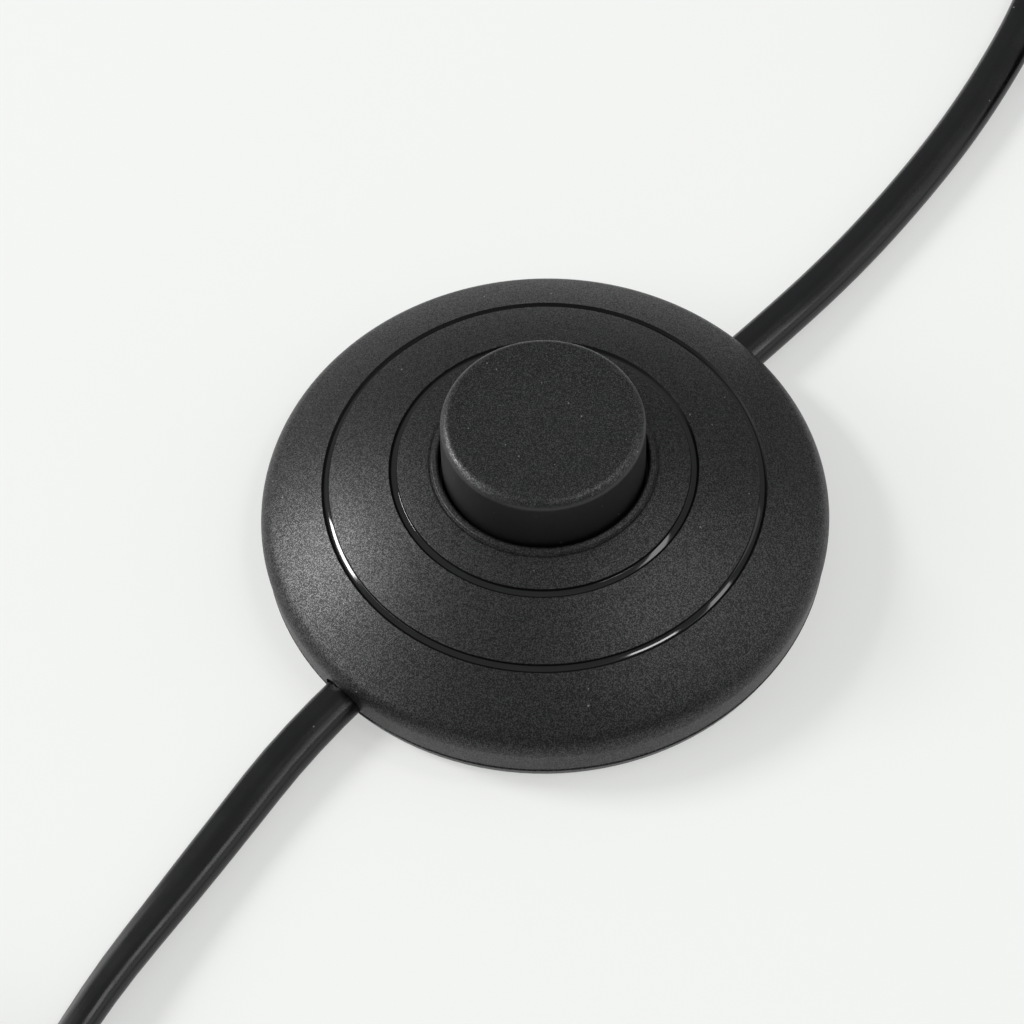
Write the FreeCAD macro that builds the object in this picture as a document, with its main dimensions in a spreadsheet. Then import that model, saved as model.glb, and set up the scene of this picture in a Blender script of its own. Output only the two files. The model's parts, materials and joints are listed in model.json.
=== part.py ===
import FreeCAD, Part
import math
import os
import re

import Sketcher

Vector = FreeCAD.Vector

# Round foot switch for a lamp cord: a domed cover on a base plate, a push button that turns a
# contact rotor, and a flat twin cord that passes in at one side and out at the other.
# The floor is z = 0, the button moves along z, and the cord leaves the housing along x.

# Driving dimensions in millimetres and degrees, with the words that stand beside them in the sheet.
SIZES = {
    "housing_radius": (32.5, "widest radius of the cover"),
    "foot_inset": (0.8, "base plate's bottom edge inside the widest radius"),
    "seam_inset": (0.3, "seam inside the widest radius"),
    "seam_height": (1.6, "height of the seam"),
    "seam_chamfer": (0.2, "chamfer of the base plate at the seam"),
    "dome_top": (16.8, "crown of the dome, before the hole is cut"),
    "rim_height": (4.8634, "height at which the cover is widest"),
    "rim_radius": (3.2, "rounding from the dome to the side"),
    "cover_wall": (2.0, "wall of the cover"),
    "groove_outer": (24.8, "radius of the outer ring groove"),
    "groove_inner": (17.0, "radius of the inner ring groove"),
    "groove_width": (1.2, "ring groove"),
    "groove_depth": (0.5, "ring groove"),
    "lip_width": (0.9, "lip round the button hole"),
    "lip_rise": (0.3, "lip above the dome"),
    "inside_break": (24.0, "radius where the two cones inside the cover meet"),
    "collar_width": (2.1, "width of the stop collar under the hole"),
    "stop_height": (12.5, "underside of the stop collar"),
    "floor_thickness": (1.8, "floor of the base plate"),
    "spigot_wall": (1.2, "wall of the base's locating ring"),
    "spigot_top": (3.6, "top of the locating ring"),
    "fit_gap": (0.2, "clearance of fixed pieces that slide together"),
    "running_gap": (0.3, "clearance of pieces that move"),
    "thread_gap": (0.05, "clearance of a screw in its hole"),
    "screw_inset": (8.0, "cover screws inside the widest radius"),
    "screw_radius": (1.4, "cover screw shank"),
    "screw_length": (6.0, "cover screw shank length"),
    "screw_head_radius": (2.8, "cover screw head"),
    "screw_head_height": (1.4, "cover screw head height"),
    "screw_sink": (0.6, "cover screw head above the underside"),
    "screw_web": (1.6, "base under the cover boss that the head clamps"),
    "seat_wall": (1.0, "wall round the screw head's recess"),
    "boss_radius": (3.2, "cover boss"),
    "button_radius": (11.5, "button at its foot"),
    "button_draft": (0.15, "button is smaller by this at its top"),
    "button_edge": (1.2, "rounding of the button's top edge"),
    "button_gap": (0.3, "clearance of the button in its hole"),
    "button_wall": (1.4, "wall of the button"),
    "button_travel": (4.5, "stroke of the button"),
    "cap_thickness": (1.85, "top of the button"),
    "flange_width": (1.9, "button's stop flange beyond its side"),
    "flange_thickness": (1.4, "button's stop flange"),
    "strip_height": (3.0, "underside of the contact strips"),
    "strip_thickness": (0.6, "contact strips"),
    "rivet_circle": (7.5, "radius at which the contact rivets stand"),
    "rivet_radius": (1.5, "contact rivet head"),
    "rivet_head": (0.5, "contact rivet head height"),
    "rivet_shank": (0.8, "contact rivet shank radius"),
    "rivet_depth": (1.0, "contact rivet shank below the strip"),
    "pad_radius": (2.2, "strip round the rivet"),
    "tip_radius": (1.2, "contact tip of the bridge"),
    "tip_height": (0.3, "contact tip of the bridge below its bar"),
    "bridge_thickness": (0.6, "contact bridge"),
    "bridge_width": (3.6, "contact bridge"),
    "turn_angle": (45.0, "turn of the rotor over the stroke"),
    "rotor_radius": (5.6, "rotor flange"),
    "rotor_thickness": (1.6, "rotor flange"),
    "hub_radius": (3.5, "rotor hub"),
    "hub_crown": (0.8, "rotor hub above its pegs"),
    "post_radius": (1.6, "base's centre post"),
    "collar_radius": (3.0, "shoulder of the centre post"),
    "stake_radius": (0.6, "stake that holds the bridge"),
    "stake_circle": (4.2, "radius at which the stakes stand"),
    "peg_radius": (0.8, "drive peg of the rotor"),
    "peg_reach": (5.0, "drive peg's end from the axis"),
    "peg_cover": (0.6, "button stem below the drive peg"),
    "stem_gap": (0.4, "clearance of the stem round the hub"),
    "stem_wall": (1.3, "wall of the button's stem"),
    "slot_width": (3.0, "stem slot, measured round the stem"),
    "retainer_thickness": (1.2, "rotor retainer plate"),
    "retainer_radius": (6.9, "rotor retainer plate's disc"),
    "retainer_circle": (8.2, "radius at which its screws stand"),
    "retainer_angle": (67.5, "direction of its first screw"),
    "retainer_ear": (1.5, "end radius of its ears"),
    "small_screw_radius": (0.7, "retainer screw shank"),
    "small_screw_depth": (3.2, "retainer screw in its post"),
    "small_head_radius": (1.3, "retainer screw head"),
    "small_head_height": (1.1, "retainer screw head height"),
    "spring_wire": (0.9, "return spring wire diameter"),
    "spring_turns": (6.0, "return spring turns"),
    "spring_steps": (16.0, "straight steps in a turn of the spring"),
    "live_inset": (17.5, "live terminal inside the widest radius, along the cord"),
    "live_y": (10.0, "live terminal beside the cord"),
    "neutral_inset": (19.5, "neutral terminal inside the widest radius, along the cord"),
    "neutral_y": (13.0, "neutral terminal beside the cord"),
    "eye_radius": (3.0, "strip round a terminal screw"),
    "arm_width": (2.8, "strip between terminal and rivet"),
    "link_width": (3.6, "neutral link between its terminals"),
    "terminal_post": (2.6, "base post under a terminal"),
    "terminal_radius": (1.2, "terminal screw shank"),
    "terminal_depth": (2.0, "terminal screw in its post"),
    "terminal_head": (2.2, "terminal screw head radius"),
    "terminal_head_height": (1.3, "terminal screw head height"),
    "wire_radius": (0.5, "bare wire"),
    "core_radius": (1.1, "insulated core"),
    "core_spread": (1.25, "core from the middle of the cord"),
    "core_bend": (0.55, "share of a core's way that it runs straight before it bends"),
    "cord_width": (5.0, "flat cord's width"),
    "cord_thickness": (3.0, "flat cord's thickness"),
    "cord_bevel": (0.9, "bevel of the flat cord's edges"),
    "cord_height": (2.5, "middle of the cord where it leaves the housing"),
    "cord_gap": (0.2, "clearance of the cord in its notch"),
    "run_lead": (3.5, "straight start of the cord outside the housing"),
    "clamp_inset": (8.5, "cord clamp inside the widest radius"),
    "sheath_tail": (2.5, "cord's sheath past the middle of the clamp"),
    "trough_spare": (4.5, "cord's trough past the end of the sheath"),
    "clamp_hole": (4.8, "cord clamp's screws from its middle"),
    "clamp_width": (5.0, "cord clamp along the cord"),
    "clamp_thickness": (1.8, "cord clamp"),
    "clamp_post": (1.9, "base post under a cord clamp"),
    "clamp_screw": (0.95, "clamp screw shank radius"),
    "clamp_screw_depth": (2.0, "clamp screw in its post"),
    "clamp_head": (1.8, "clamp screw head radius"),
    "clamp_head_height": (1.2, "clamp screw head height"),
    "coil_lift": (0.9, "coil above the floor, where the tie passes under it"),
    "coil_play": (0.2, "room for each turn of a coil"),
    "supply_coil_radius": (27.5, "middle of the supply coil's turns"),
    "supply_columns": (4.0, "turns side by side in the supply coil"),
    "supply_layers": (2.0, "layers of the supply coil"),
    "lamp_coil_radius": (25.0, "middle of the lamp coil's turns"),
    "lamp_columns": (2.0, "turns side by side in the lamp coil"),
    "lamp_layers": (2.0, "layers of the lamp coil"),
    "tie_width": (3.0, "coil tie"),
    "tie_thickness": (0.6, "coil tie"),
    "tie_angle": (60.0, "where a coil tie sits"),
    "plug_width": (35.0, "plug body"),
    "plug_thickness": (13.7, "plug body"),
    "plug_corner": (5.0, "rounding of the plug's section"),
    "plug_face_inset": (0.7, "plug's face inside its body"),
    "relief_wall": (1.2, "plug's cord relief round the cord, at its end"),
    "relief_corner": (2.4, "rounding of the relief's end"),
    "plug_relief": (13.0, "plug's cord relief"),
    "relief_slot": (1.1, "slot across the relief"),
    "relief_pitch": (2.6, "between the relief's slots"),
    "relief_floor": (0.6, "relief left on the cord under its slots"),
    "root_wall": (2.75, "plug's cord relief round the cord, at its root"),
    "root_corner": (3.6, "rounding of the relief's root"),
    "plug_neck": (19.0, "where the plug's body starts to widen"),
    "neck_width": (17.5, "plug body where it starts to widen"),
    "neck_thickness": (11.0, "plug body where it starts to widen"),
    "neck_corner": (4.5, "rounding of the section where the body starts to widen"),
    "plug_shoulder": (30.0, "where the plug's body is at its widest"),
    "plug_face": (41.0, "plug's face from the end of its relief"),
    "plug_turn": (115.0, "direction of the plug"),
    "pin_radius": (2.0, "plug pin"),
    "pin_length": (19.0, "plug pin"),
    "pin_spacing": (18.6, "between the plug pins"),
    "pin_seat": (4.0, "plug pin's root inside the body"),
    "pin_root": (1.5, "plug pin's root radius"),
    "end_core_length": (18.0, "split cores at the lamp cord's free end"),
    "end_wire_length": (7.0, "bare wires at the lamp cord's free end"),
    "end_core_angle": (190.0, "where the split cores lie on the coil"),
}

# Middle line of each cord's run outside the housing, chosen by hand.
SUPPLY_RUN = [(-57.0, -4.4, 1.6), (-80.5, -9.0, 1.55), (-101.0, -18.5, 1.6), (-116.0, -27.2, 2.2)]
SUPPLY_TAIL = [(-137.5, -30.6, 6.2), (-150.0, -32.2, 3.2), (-161.0, -32.5, 1.6), (-171.6, -32.3, 2.1),
               (-179.4, -28.4, 4.3), (-185.0, -21.0, 6.85)]
LAMP_RUN = [(52.0, 0.6, 1.6), (67.0, 2.3, 1.55), (80.5, 5.4, 1.55), (95.0, 9.9, 1.6), (110.0, 16.9, 2.2)]
COIL_CENTRE = {-1: (-131.0, 2.0), 1: (125.0, -6.0)}
SUPPLY, LAMP = -1, 1
SIDES = {"supply": SUPPLY, "lamp": LAMP}

doc = FreeCAD.newDocument("foot_switch")
sheet = doc.addObject("Spreadsheet::Sheet", "Sizes")
for row, (alias, (number, words)) in enumerate(SIZES.items(), start=1):
    sheet.set(f"A{row}", words)
    sheet.set(f"B{row}", str(number))
    sheet.setAlias(f"B{row}", alias)
doc.recompute()


# Expressions: sizes are written by their names, and bound() points each name at its cell.

def bound(text):
    return re.sub(r"[a-z]\w*", lambda word: f"Sizes.{word[0]}" if word[0] in SIZES else word[0], text)


def value(text):
    return float(sheet.evalExpression(bound(text)))


def dome_height(radius, wall="0"):
    """Height of the dome at a radius, or of the surface that lies a wall below it."""
    return f"({DOME_CENTRE} + sqrt(({DOME_RADIUS} - {wall}) ^ 2 - ({radius}) ^ 2))"


# Radii and heights that follow from the driving dimensions. The dome runs into the rim's rounding
# without a break.
RIM_CENTRE = "(housing_radius - rim_radius)"
CROWN_RISE = "(dome_top - rim_height)"
DOME_RADIUS = f"(({RIM_CENTRE} ^ 2 + {CROWN_RISE} ^ 2 - rim_radius ^ 2) / (2 * ({CROWN_RISE} - rim_radius)))"
DOME_CENTRE = f"(dome_top - {DOME_RADIUS})"
FOOT_RADIUS = "(housing_radius - foot_inset)"
SEAM_RADIUS = "(housing_radius - seam_inset)"
HOLE_RADIUS = "(button_radius + button_gap)"
COLLAR_RADIUS = f"({HOLE_RADIUS} + collar_width)"
SPIGOT_OUTER = "(housing_radius - cover_wall - fit_gap)"
SPIGOT_INNER = f"({SPIGOT_OUTER} - spigot_wall)"
SCREW_RECESS = "(screw_sink + screw_head_height)"
SEAT_TOP = f"({SCREW_RECESS} + screw_web)"
STRIP_TOP = "(strip_height + strip_thickness)"
TIP_BOTTOM = f"({STRIP_TOP} + rivet_head + running_gap)"
BRIDGE_BOTTOM = f"({TIP_BOTTOM} + tip_height)"
ROTOR_BOTTOM = f"({BRIDGE_BOTTOM} + bridge_thickness)"
ROTOR_TOP = f"({ROTOR_BOTTOM} + rotor_thickness)"
RETAINER_BOTTOM = f"({ROTOR_TOP} + running_gap)"
RETAINER_TOP = f"({RETAINER_BOTTOM} + retainer_thickness)"
STEM_BOTTOM = f"({RETAINER_TOP} + button_travel + running_gap)"
PEG_HEIGHT = f"({STEM_BOTTOM} + peg_cover + peg_radius)"
HUB_TOP = f"({PEG_HEIGHT} + peg_radius + hub_crown)"
HUB_BORE = "(post_radius + running_gap)"
HUB_BORE_TOP = f"({HUB_TOP} - hub_crown)"
CEILING = f"({HUB_TOP} + button_travel + running_gap)"
BUTTON_TOP = f"({CEILING} + cap_thickness)"
FLANGE_TOP = "(stop_height - running_gap)"
FLANGE_BOTTOM = f"({FLANGE_TOP} - flange_thickness)"
STEM_INNER = "(hub_radius + stem_gap)"
STEM_OUTER = f"({STEM_INNER} + stem_wall)"
SPRING_RADIUS = f"({STEM_OUTER} + running_gap + spring_wire / 2)"
BRIDGE_REACH = "(rivet_circle + tip_radius)"
WIRE_HEIGHT = f"({STRIP_TOP} + thread_gap + wire_radius)"
TERMINAL_HEAD_BOTTOM = f"({WIRE_HEIGHT} + wire_radius + thread_gap)"
WIRE_OFFSET = "(terminal_radius + wire_radius + thread_gap)"
CORD_TOP = "(cord_height + cord_thickness / 2)"
CORD_BOTTOM = "(cord_height - cord_thickness / 2)"
CLAMP_X = "(housing_radius - clamp_inset)"
SHEATH_END = f"({CLAMP_X} - sheath_tail)"
TROUGH_END = f"({SHEATH_END} - trough_spare)"
CLAMP_BOTTOM = f"({CORD_TOP} + thread_gap)"
CLAMP_TOP = f"({CLAMP_BOTTOM} + clamp_thickness)"
NOTCH_WIDTH = "(cord_width + 2 * cord_gap)"
SCREW_CIRCLE = "(housing_radius - screw_inset)"
LIVE_X = "(housing_radius - live_inset)"
NEUTRAL_X = "(housing_radius - neutral_inset)"

SCREW_PLACES = [(f"({SCREW_CIRCLE} * cos({a}))", f"({SCREW_CIRCLE} * sin({a}))") for a in (90, 210, 330)]
RETAINER_PLACES = [(f"({s} * retainer_circle * cos(retainer_angle))",
                    f"({s} * retainer_circle * sin(retainer_angle))") for s in (1, -1)]
LIVE_PLACES = {side: (f"({side} * {LIVE_X})", "live_y") for side in SIDES.values()}
NEUTRAL_PLACES = {side: (f"({side} * {NEUTRAL_X})", "(-1 * neutral_y)") for side in SIDES.values()}
RIVET_PLACES = {side: (f"({side} * rivet_circle)", "0") for side in SIDES.values()}
TERMINAL_PLACES = [*LIVE_PLACES.values(), *NEUTRAL_PLACES.values()]
CLAMP_PLACES = {side: [(f"({side} * {CLAMP_X})", f"({hand} * clamp_hole)") for hand in (1, -1)]
                for side in SIDES.values()}
ALL_CLAMP_PLACES = CLAMP_PLACES[SUPPLY] + CLAMP_PLACES[LAMP]
BRIDGE_ANGLE = "(-1 * turn_angle)"
STAKE_PLACES = [(f"({s} * stake_circle * cos({BRIDGE_ANGLE}))",
                 f"({s} * stake_circle * sin({BRIDGE_ANGLE}))") for s in (1, -1)]


# Solids with sizes bound to the sheet.

def tie(thing, **sizes):
    for name, text in sizes.items():
        thing.setExpression(name, bound(text))
    return thing


def put(thing, x="0", y="0", z="0"):
    for axis, text in zip("xyz", (x, y, z)):
        thing.setExpression(f"Placement.Base.{axis}", bound(text))
    return thing


def rod(name, radius, bottom, top, place=("0", "0")):
    """Upright cylinder between two heights."""
    solid = tie(doc.addObject("Part::Cylinder", name), Radius=radius, Height=f"({top}) - ({bottom})")
    return put(solid, *place, bottom)


def rods(name, places, radius, bottom, top):
    return [rod(name, radius, bottom, top, place) for place in places]


def prism(name, radius, bottom, top, place=("0", "0")):
    """Upright eight-sided rod, for a shank or pilot hole that only a thread fills."""
    solid = tie(doc.addObject("Part::Prism", name), Circumradius=radius, Height=f"({top}) - ({bottom})")
    solid.Polygon = 8
    return put(solid, *place, bottom)


def prisms(name, places, radius, bottom, top):
    return [prism(name, radius, bottom, top, place) for place in places]


def blocks(name, places, half, bottom, top):
    """Upright square blocks."""
    side, height = f"2 * {half}", f"({top}) - ({bottom})"
    return [bar(name, (f"{x} - {half}", y), "0", side, side, bottom, height) for x, y in places]


def bar(name, start, angle, length, width, bottom, thickness):
    """Flat bar that runs from a point in the given direction, centred on its line."""
    solid = tie(doc.addObject("Part::Box", name), Length=length, Width=width, Height=thickness)
    solid.setExpression("Placement.Rotation.Angle", bound(angle))
    x = f"{start[0]} + sin({angle}) * {width} / 2"
    y = f"{start[1]} - cos({angle}) * {width} / 2"
    return put(solid, x, y, bottom)


def fuse(label, solids):
    joined = doc.addObject("Part::MultiFuse", label)
    joined.Shapes = solids
    joined.Refine = True
    return joined


def cut(label, base, tools):
    rest = doc.addObject("Part::Cut", label)
    rest.Base = base
    rest.Tool = fuse(f"{label}_tools", tools) if len(tools) > 1 else tools[0]
    rest.Refine = True
    return rest


def group(label, solids):
    """Several like solids in one node."""
    together = doc.addObject("Part::Compound", label)
    together.Links = solids
    return together


def outline(body, role, name, corners, lift="0"):
    """Closed sketch; a corner is (x, y), or (x, y, radius, way) where an arc leads to the next one.

    way is 1 for an arc that turns left and -1 for one that turns right.
    """
    sketch = body.newObject("Sketcher::SketchObject", name)
    sketch.AttachmentSupport = [(plane, "") for plane in body.Origin.OriginFeatures if plane.Role == role]
    sketch.MapMode = "FlatFace"
    sketch.setExpression("AttachmentOffset.Base.z", bound(lift))
    points = [Vector(value(corner[0]), value(corner[1]), 0) for corner in corners]
    edges = []
    for corner, start, end in zip(corners, points, points[1:] + points[:1]):
        if len(corner) == 2:
            edges.append((sketch.addGeometry(Part.LineSegment(start, end), False), 1, 2))
            continue
        radius, way = value(corner[2]), corner[3]
        half = (end - start) * 0.5
        inward = Vector(-half.y, half.x, 0).normalize() * way
        centre = start + half + inward * math.sqrt(radius ** 2 - half.Length ** 2)
        first, last = (start, end) if way == 1 else (end, start)
        angles = [math.atan2(p.y - centre.y, p.x - centre.x) for p in (first, last)]
        arc = Part.ArcOfCircle(Part.Circle(centre, Vector(0, 0, 1), radius), *angles)
        ends = (1, 2) if way == 1 else (2, 1)
        edges.append((sketch.addGeometry(arc, False), *ends))
    for corner, (edge, head, _), (before, _, tail) in zip(corners, edges, edges[-1:] + edges[:-1]):
        sketch.addConstraint(Sketcher.Constraint("Coincident", before, tail, edge, head))
        for kind, text, axis in (("DistanceX", corner[0], -2), ("DistanceY", corner[1], -1)):
            if text == "0":
                sketch.addConstraint(Sketcher.Constraint("PointOnObject", edge, head, axis))
                continue
            held = sketch.addConstraint(Sketcher.Constraint(kind, edge, head, value(text)))
            sketch.setExpression(f"Constraints[{held}]", bound(text))
        if len(corner) > 2:
            held = sketch.addConstraint(Sketcher.Constraint("Radius", edge, value(corner[2])))
            sketch.setExpression(f"Constraints[{held}]", bound(corner[2]))
    return sketch


def turned(label, corners):
    """Body of revolution about z from a profile of (radius, height)."""
    body = doc.addObject("PartDesign::Body", label)
    sketch = outline(body, "XZ_Plane", f"{label}_profile", corners)
    turn = body.newObject("PartDesign::Revolution", f"{label}_turn")
    turn.Profile = sketch
    turn.ReferenceAxis = (sketch, ["V_Axis"])
    turn.Angle = 360
    return body


def rounded_box(left, right, bottom, top, edge):
    """Corners of a rectangle with rounded corners, counterclockwise."""
    return [(f"{left} + {edge}", bottom), (f"{right} - {edge}", bottom, edge, 1),
            (right, f"{bottom} + {edge}"), (right, f"{top} - {edge}", edge, 1),
            (f"{right} - {edge}", top), (f"{left} + {edge}", top, edge, 1),
            (left, f"{top} - {edge}"), (left, f"{bottom} + {edge}", edge, 1)]


# Soft runs: a section carried along straight runs joined by tangent arcs, each of which takes at most this
# share of the shorter run beside it.
ARC_SHARE = 0.45


def carried(section, points, name):
    """Solid of a section face along the points, with each arc as large as its two runs allow."""
    legs = [after - before for before, after in zip(points, points[1:])]
    trims = [0.0] + [ARC_SHARE * min(a.Length, b.Length) for a, b in zip(legs, legs[1:])] + [0.0]
    face, pieces, path, radii = section, [], 0.0, []
    for number, leg in enumerate(legs):
        way = Vector(leg).normalize()
        straight = way * (leg.Length - trims[number] - trims[number + 1])
        pieces.append(face.extrude(straight))
        face = face.translated(straight)
        path += straight.Length
        if number + 1 == len(legs):
            break
        turn = leg.getAngle(legs[number + 1])
        radius = trims[number + 1] / math.tan(turn / 2)
        axis = leg.cross(legs[number + 1]).normalize()
        corner_start = points[number + 1] - way * trims[number + 1]
        hub = corner_start + axis.cross(way) * radius
        pieces.append(face.revolve(hub, axis, math.degrees(turn)))
        face = face.rotated(hub, axis, math.degrees(turn))
        path += radius * turn
        radii.append(radius)
    solid = pieces[0].fuse(pieces[1:]).removeSplitter()
    print(f"{name}: length {path:.1f}, radii {[round(r, 1) for r in radii]},",
          f"volume {solid.Volume:.1f} for section times length {section.Area * path:.1f}")
    return solid


def across(start, way, corners):
    """Face with the given (sideways, upward) corners, level and square to the way it sets out."""
    forward = Vector(way).normalize()
    level = Vector(0, 0, 1).cross(forward).normalize()
    upward = forward.cross(level)
    points = [start + level * side + upward * up for side, up in corners]
    return Part.Face(Part.makePolygon(points + points[:1]))


def flat_section(start, way):
    """Flat cord's section with its edges bevelled."""
    half, high, bevel = value("cord_width / 2"), value("cord_thickness / 2"), value("cord_bevel")
    quarter = [(half, high - bevel), (half - bevel, high)]
    top = quarter + [(-side, up) for side, up in reversed(quarter)]
    return across(start, way, top + [(-side, -up) for side, up in top])


def polygon_section(start, way, radius, sides):
    angles = [2 * math.pi * (n + 0.5) / sides for n in range(sides)]
    return across(start, way, [(radius * math.cos(a), radius * math.sin(a)) for a in angles])


def soft(label, shape):
    feature = doc.addObject("Part::Feature", label)
    feature.Shape = shape
    return feature


def flat_cord(label, points):
    route = [Vector(*point) for point in points]
    section = flat_section(route[0], (route[1] - route[0]).normalize())
    return soft(label, carried(section, route, label))


# The pieces.

def make_cover():
    share = f"{DOME_RADIUS} / ({DOME_RADIUS} - rim_radius)"
    rise = f"(rim_height - {DOME_CENTRE})"
    outside = turned("cover_outside", [
        ("0", "seam_height"), (SEAM_RADIUS, "seam_height"),
        ("housing_radius", "rim_height", "rim_radius", 1),
        (f"{RIM_CENTRE} * {share}", f"{DOME_CENTRE} + {rise} * {share}", DOME_RADIUS, 1),
        ("0", "dome_top")])
    inside = turned("cover_inside", [
        ("0", "seam_height"), ("housing_radius - cover_wall", "seam_height"),
        ("housing_radius - cover_wall", "rim_height"),
        ("inside_break", dome_height("inside_break", "cover_wall")),
        (COLLAR_RADIUS, dome_height(COLLAR_RADIUS, "cover_wall")),
        ("0", dome_height(COLLAR_RADIUS, "cover_wall"))])
    left_in = rods("cover_boss", SCREW_PLACES, "boss_radius", SEAT_TOP, "dome_top")
    left_in.append(rod("stop_collar", COLLAR_RADIUS, "stop_height", "dome_top"))
    flange_room = rod("flange_room", COLLAR_RADIUS, "seam_height", "stop_height")
    hollow = cut("cover_hollow", fuse("cover_room", [inside, flange_room]), left_in)
    shell = cut("cover_shell", outside, [hollow])
    lip_foot = f"({HOLE_RADIUS} + lip_width)"
    lip = turned("hole_lip", [
        (HOLE_RADIUS, "stop_height"), (lip_foot, "stop_height"), (lip_foot, dome_height(lip_foot)),
        (f"{HOLE_RADIUS} + lip_width / 2", f"{dome_height(HOLE_RADIUS)} + lip_rise"),
        (HOLE_RADIUS, dome_height(HOLE_RADIUS))])
    cuts = prisms("screw_pilot", SCREW_PLACES, "screw_radius + thread_gap", SEAT_TOP,
                  f"{SCREW_RECESS} + screw_length + fit_gap")
    cuts.append(rod("button_hole", HOLE_RADIUS, "0", "dome_top + cover_wall"))
    cuts += [ring_groove(name) for name in ("groove_outer", "groove_inner")]
    reach = "(housing_radius + cord_gap)"
    cuts.append(bar("cord_tunnel", (f"-1 * {reach}", "0"), "0", f"2 * {reach}", NOTCH_WIDTH, "0",
                    f"{CORD_TOP} + cord_gap"))
    return cut("upper_cover", fuse("cover_with_lip", [shell, lip]), cuts)


def ring_groove(radius):
    """Ring that cuts a groove with sloping sides into the dome."""
    inner, outer = f"({radius} - groove_width / 2)", f"({radius} + groove_width / 2)"
    high, low = f"{dome_height(inner)} + groove_depth", f"{dome_height(radius)} - groove_depth"
    return turned(f"{radius}_tool", [
        (inner, high), (inner, dome_height(inner)), (f"{radius} - groove_width / 4", low),
        (f"{radius} + groove_width / 4", low), (outer, dome_height(outer)), (outer, high)])


def make_base():
    disc = turned("base_disc", [
        ("0", "0"), (FOOT_RADIUS, "0"), (SEAM_RADIUS, "seam_height - seam_chamfer"),
        (f"{SEAM_RADIUS} - seam_chamfer", "seam_height"), (SPIGOT_OUTER, "seam_height"),
        (SPIGOT_OUTER, "spigot_top"), (SPIGOT_INNER, "spigot_top"),
        (SPIGOT_INNER, "floor_thickness"), ("0", "floor_thickness")])
    recess = "(screw_head_radius + fit_gap)"
    stands = [disc, rod("centre_post", "post_radius", "0", f"{HUB_BORE_TOP} - running_gap"),
              rod("centre_shoulder", "collar_radius", "0", f"{BRIDGE_BOTTOM} - running_gap")]
    stands += rods("screw_seat", SCREW_PLACES, f"{recess} + seat_wall", "0", SEAT_TOP)
    stands += rods("retainer_post", RETAINER_PLACES, "retainer_ear", "0", RETAINER_BOTTOM)
    stands += blocks("terminal_stand", TERMINAL_PLACES, "terminal_post", "0", "strip_height")
    stands += blocks("rivet_stand", RIVET_PLACES.values(), "pad_radius", "0", "strip_height")
    stands += blocks("clamp_stand", ALL_CLAMP_PLACES, "clamp_post", "0", CLAMP_BOTTOM)
    cuts = rods("screw_head_recess", SCREW_PLACES, recess, "0", SCREW_RECESS)
    cuts += rods("screw_way", SCREW_PLACES, "screw_radius + fit_gap", "0", SEAT_TOP)
    cuts += prisms("retainer_pilot", RETAINER_PLACES, "small_screw_radius + thread_gap",
                   f"{RETAINER_BOTTOM} - small_screw_depth - fit_gap", RETAINER_BOTTOM)
    cuts += prisms("terminal_pilot", TERMINAL_PLACES, "terminal_radius + thread_gap",
                   "strip_height - terminal_depth - fit_gap", "strip_height")
    cuts += prisms("rivet_hole", RIVET_PLACES.values(), "rivet_shank + thread_gap",
                   "strip_height - rivet_depth - fit_gap", "strip_height")
    cuts += prisms("clamp_pilot", ALL_CLAMP_PLACES, "clamp_screw + thread_gap",
                   f"{CLAMP_BOTTOM} - clamp_screw_depth - fit_gap", CLAMP_BOTTOM)
    for angle, side in (("180", SUPPLY), ("0", LAMP)):
        cuts.append(bar("cord_trough", (f"{side} * {TROUGH_END}", "0"), angle,
                        f"housing_radius - {TROUGH_END}", NOTCH_WIDTH, f"{CORD_BOTTOM} - cord_gap",
                        "spigot_top"))
    return cut("base_plate", fuse("base_with_posts", stands), cuts)


def make_screws(label, places, radius, tip, neck, head_radius, head_top):
    """Screws whose shank runs from tip to neck, with a round head from neck to head_top."""
    screws = []
    for place in places:
        low, high = (tip, neck) if value(tip) < value(neck) else (neck, tip)
        head_low, head_high = (neck, head_top) if value(neck) < value(head_top) else (head_top, neck)
        shank = prism(f"{label}_shank", radius, low, high, place)
        head = rod(f"{label}_head", head_radius, head_low, head_high, place)
        screws.append(fuse(f"{label}_one", [shank, head]))
    return group(label, screws)


def make_button():
    top_radius = "(button_radius - button_draft)"
    flange = "(button_radius + flange_width)"
    cavity = "(button_radius - button_wall)"
    cup = turned("button_cup", [
        ("0", CEILING), (cavity, CEILING), (cavity, FLANGE_BOTTOM), (flange, FLANGE_BOTTOM),
        (flange, FLANGE_TOP), ("button_radius", FLANGE_TOP),
        (top_radius, f"{BUTTON_TOP} - button_edge", "button_edge", 1),
        (f"{top_radius} - button_edge", BUTTON_TOP), ("0", BUTTON_TOP)])
    stem = rod("button_stem", STEM_OUTER, STEM_BOTTOM, f"{CEILING} + cap_thickness / 2")
    cuts = [rod("stem_bore", STEM_INNER, STEM_BOTTOM, CEILING)]
    cuts += [helical_slot(f"stem_slot_{side}", 90 * (1 - side)) for side in (1, -1)]
    return cut("push_button", fuse("button_with_stem", [cup, stem]), cuts)


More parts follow.
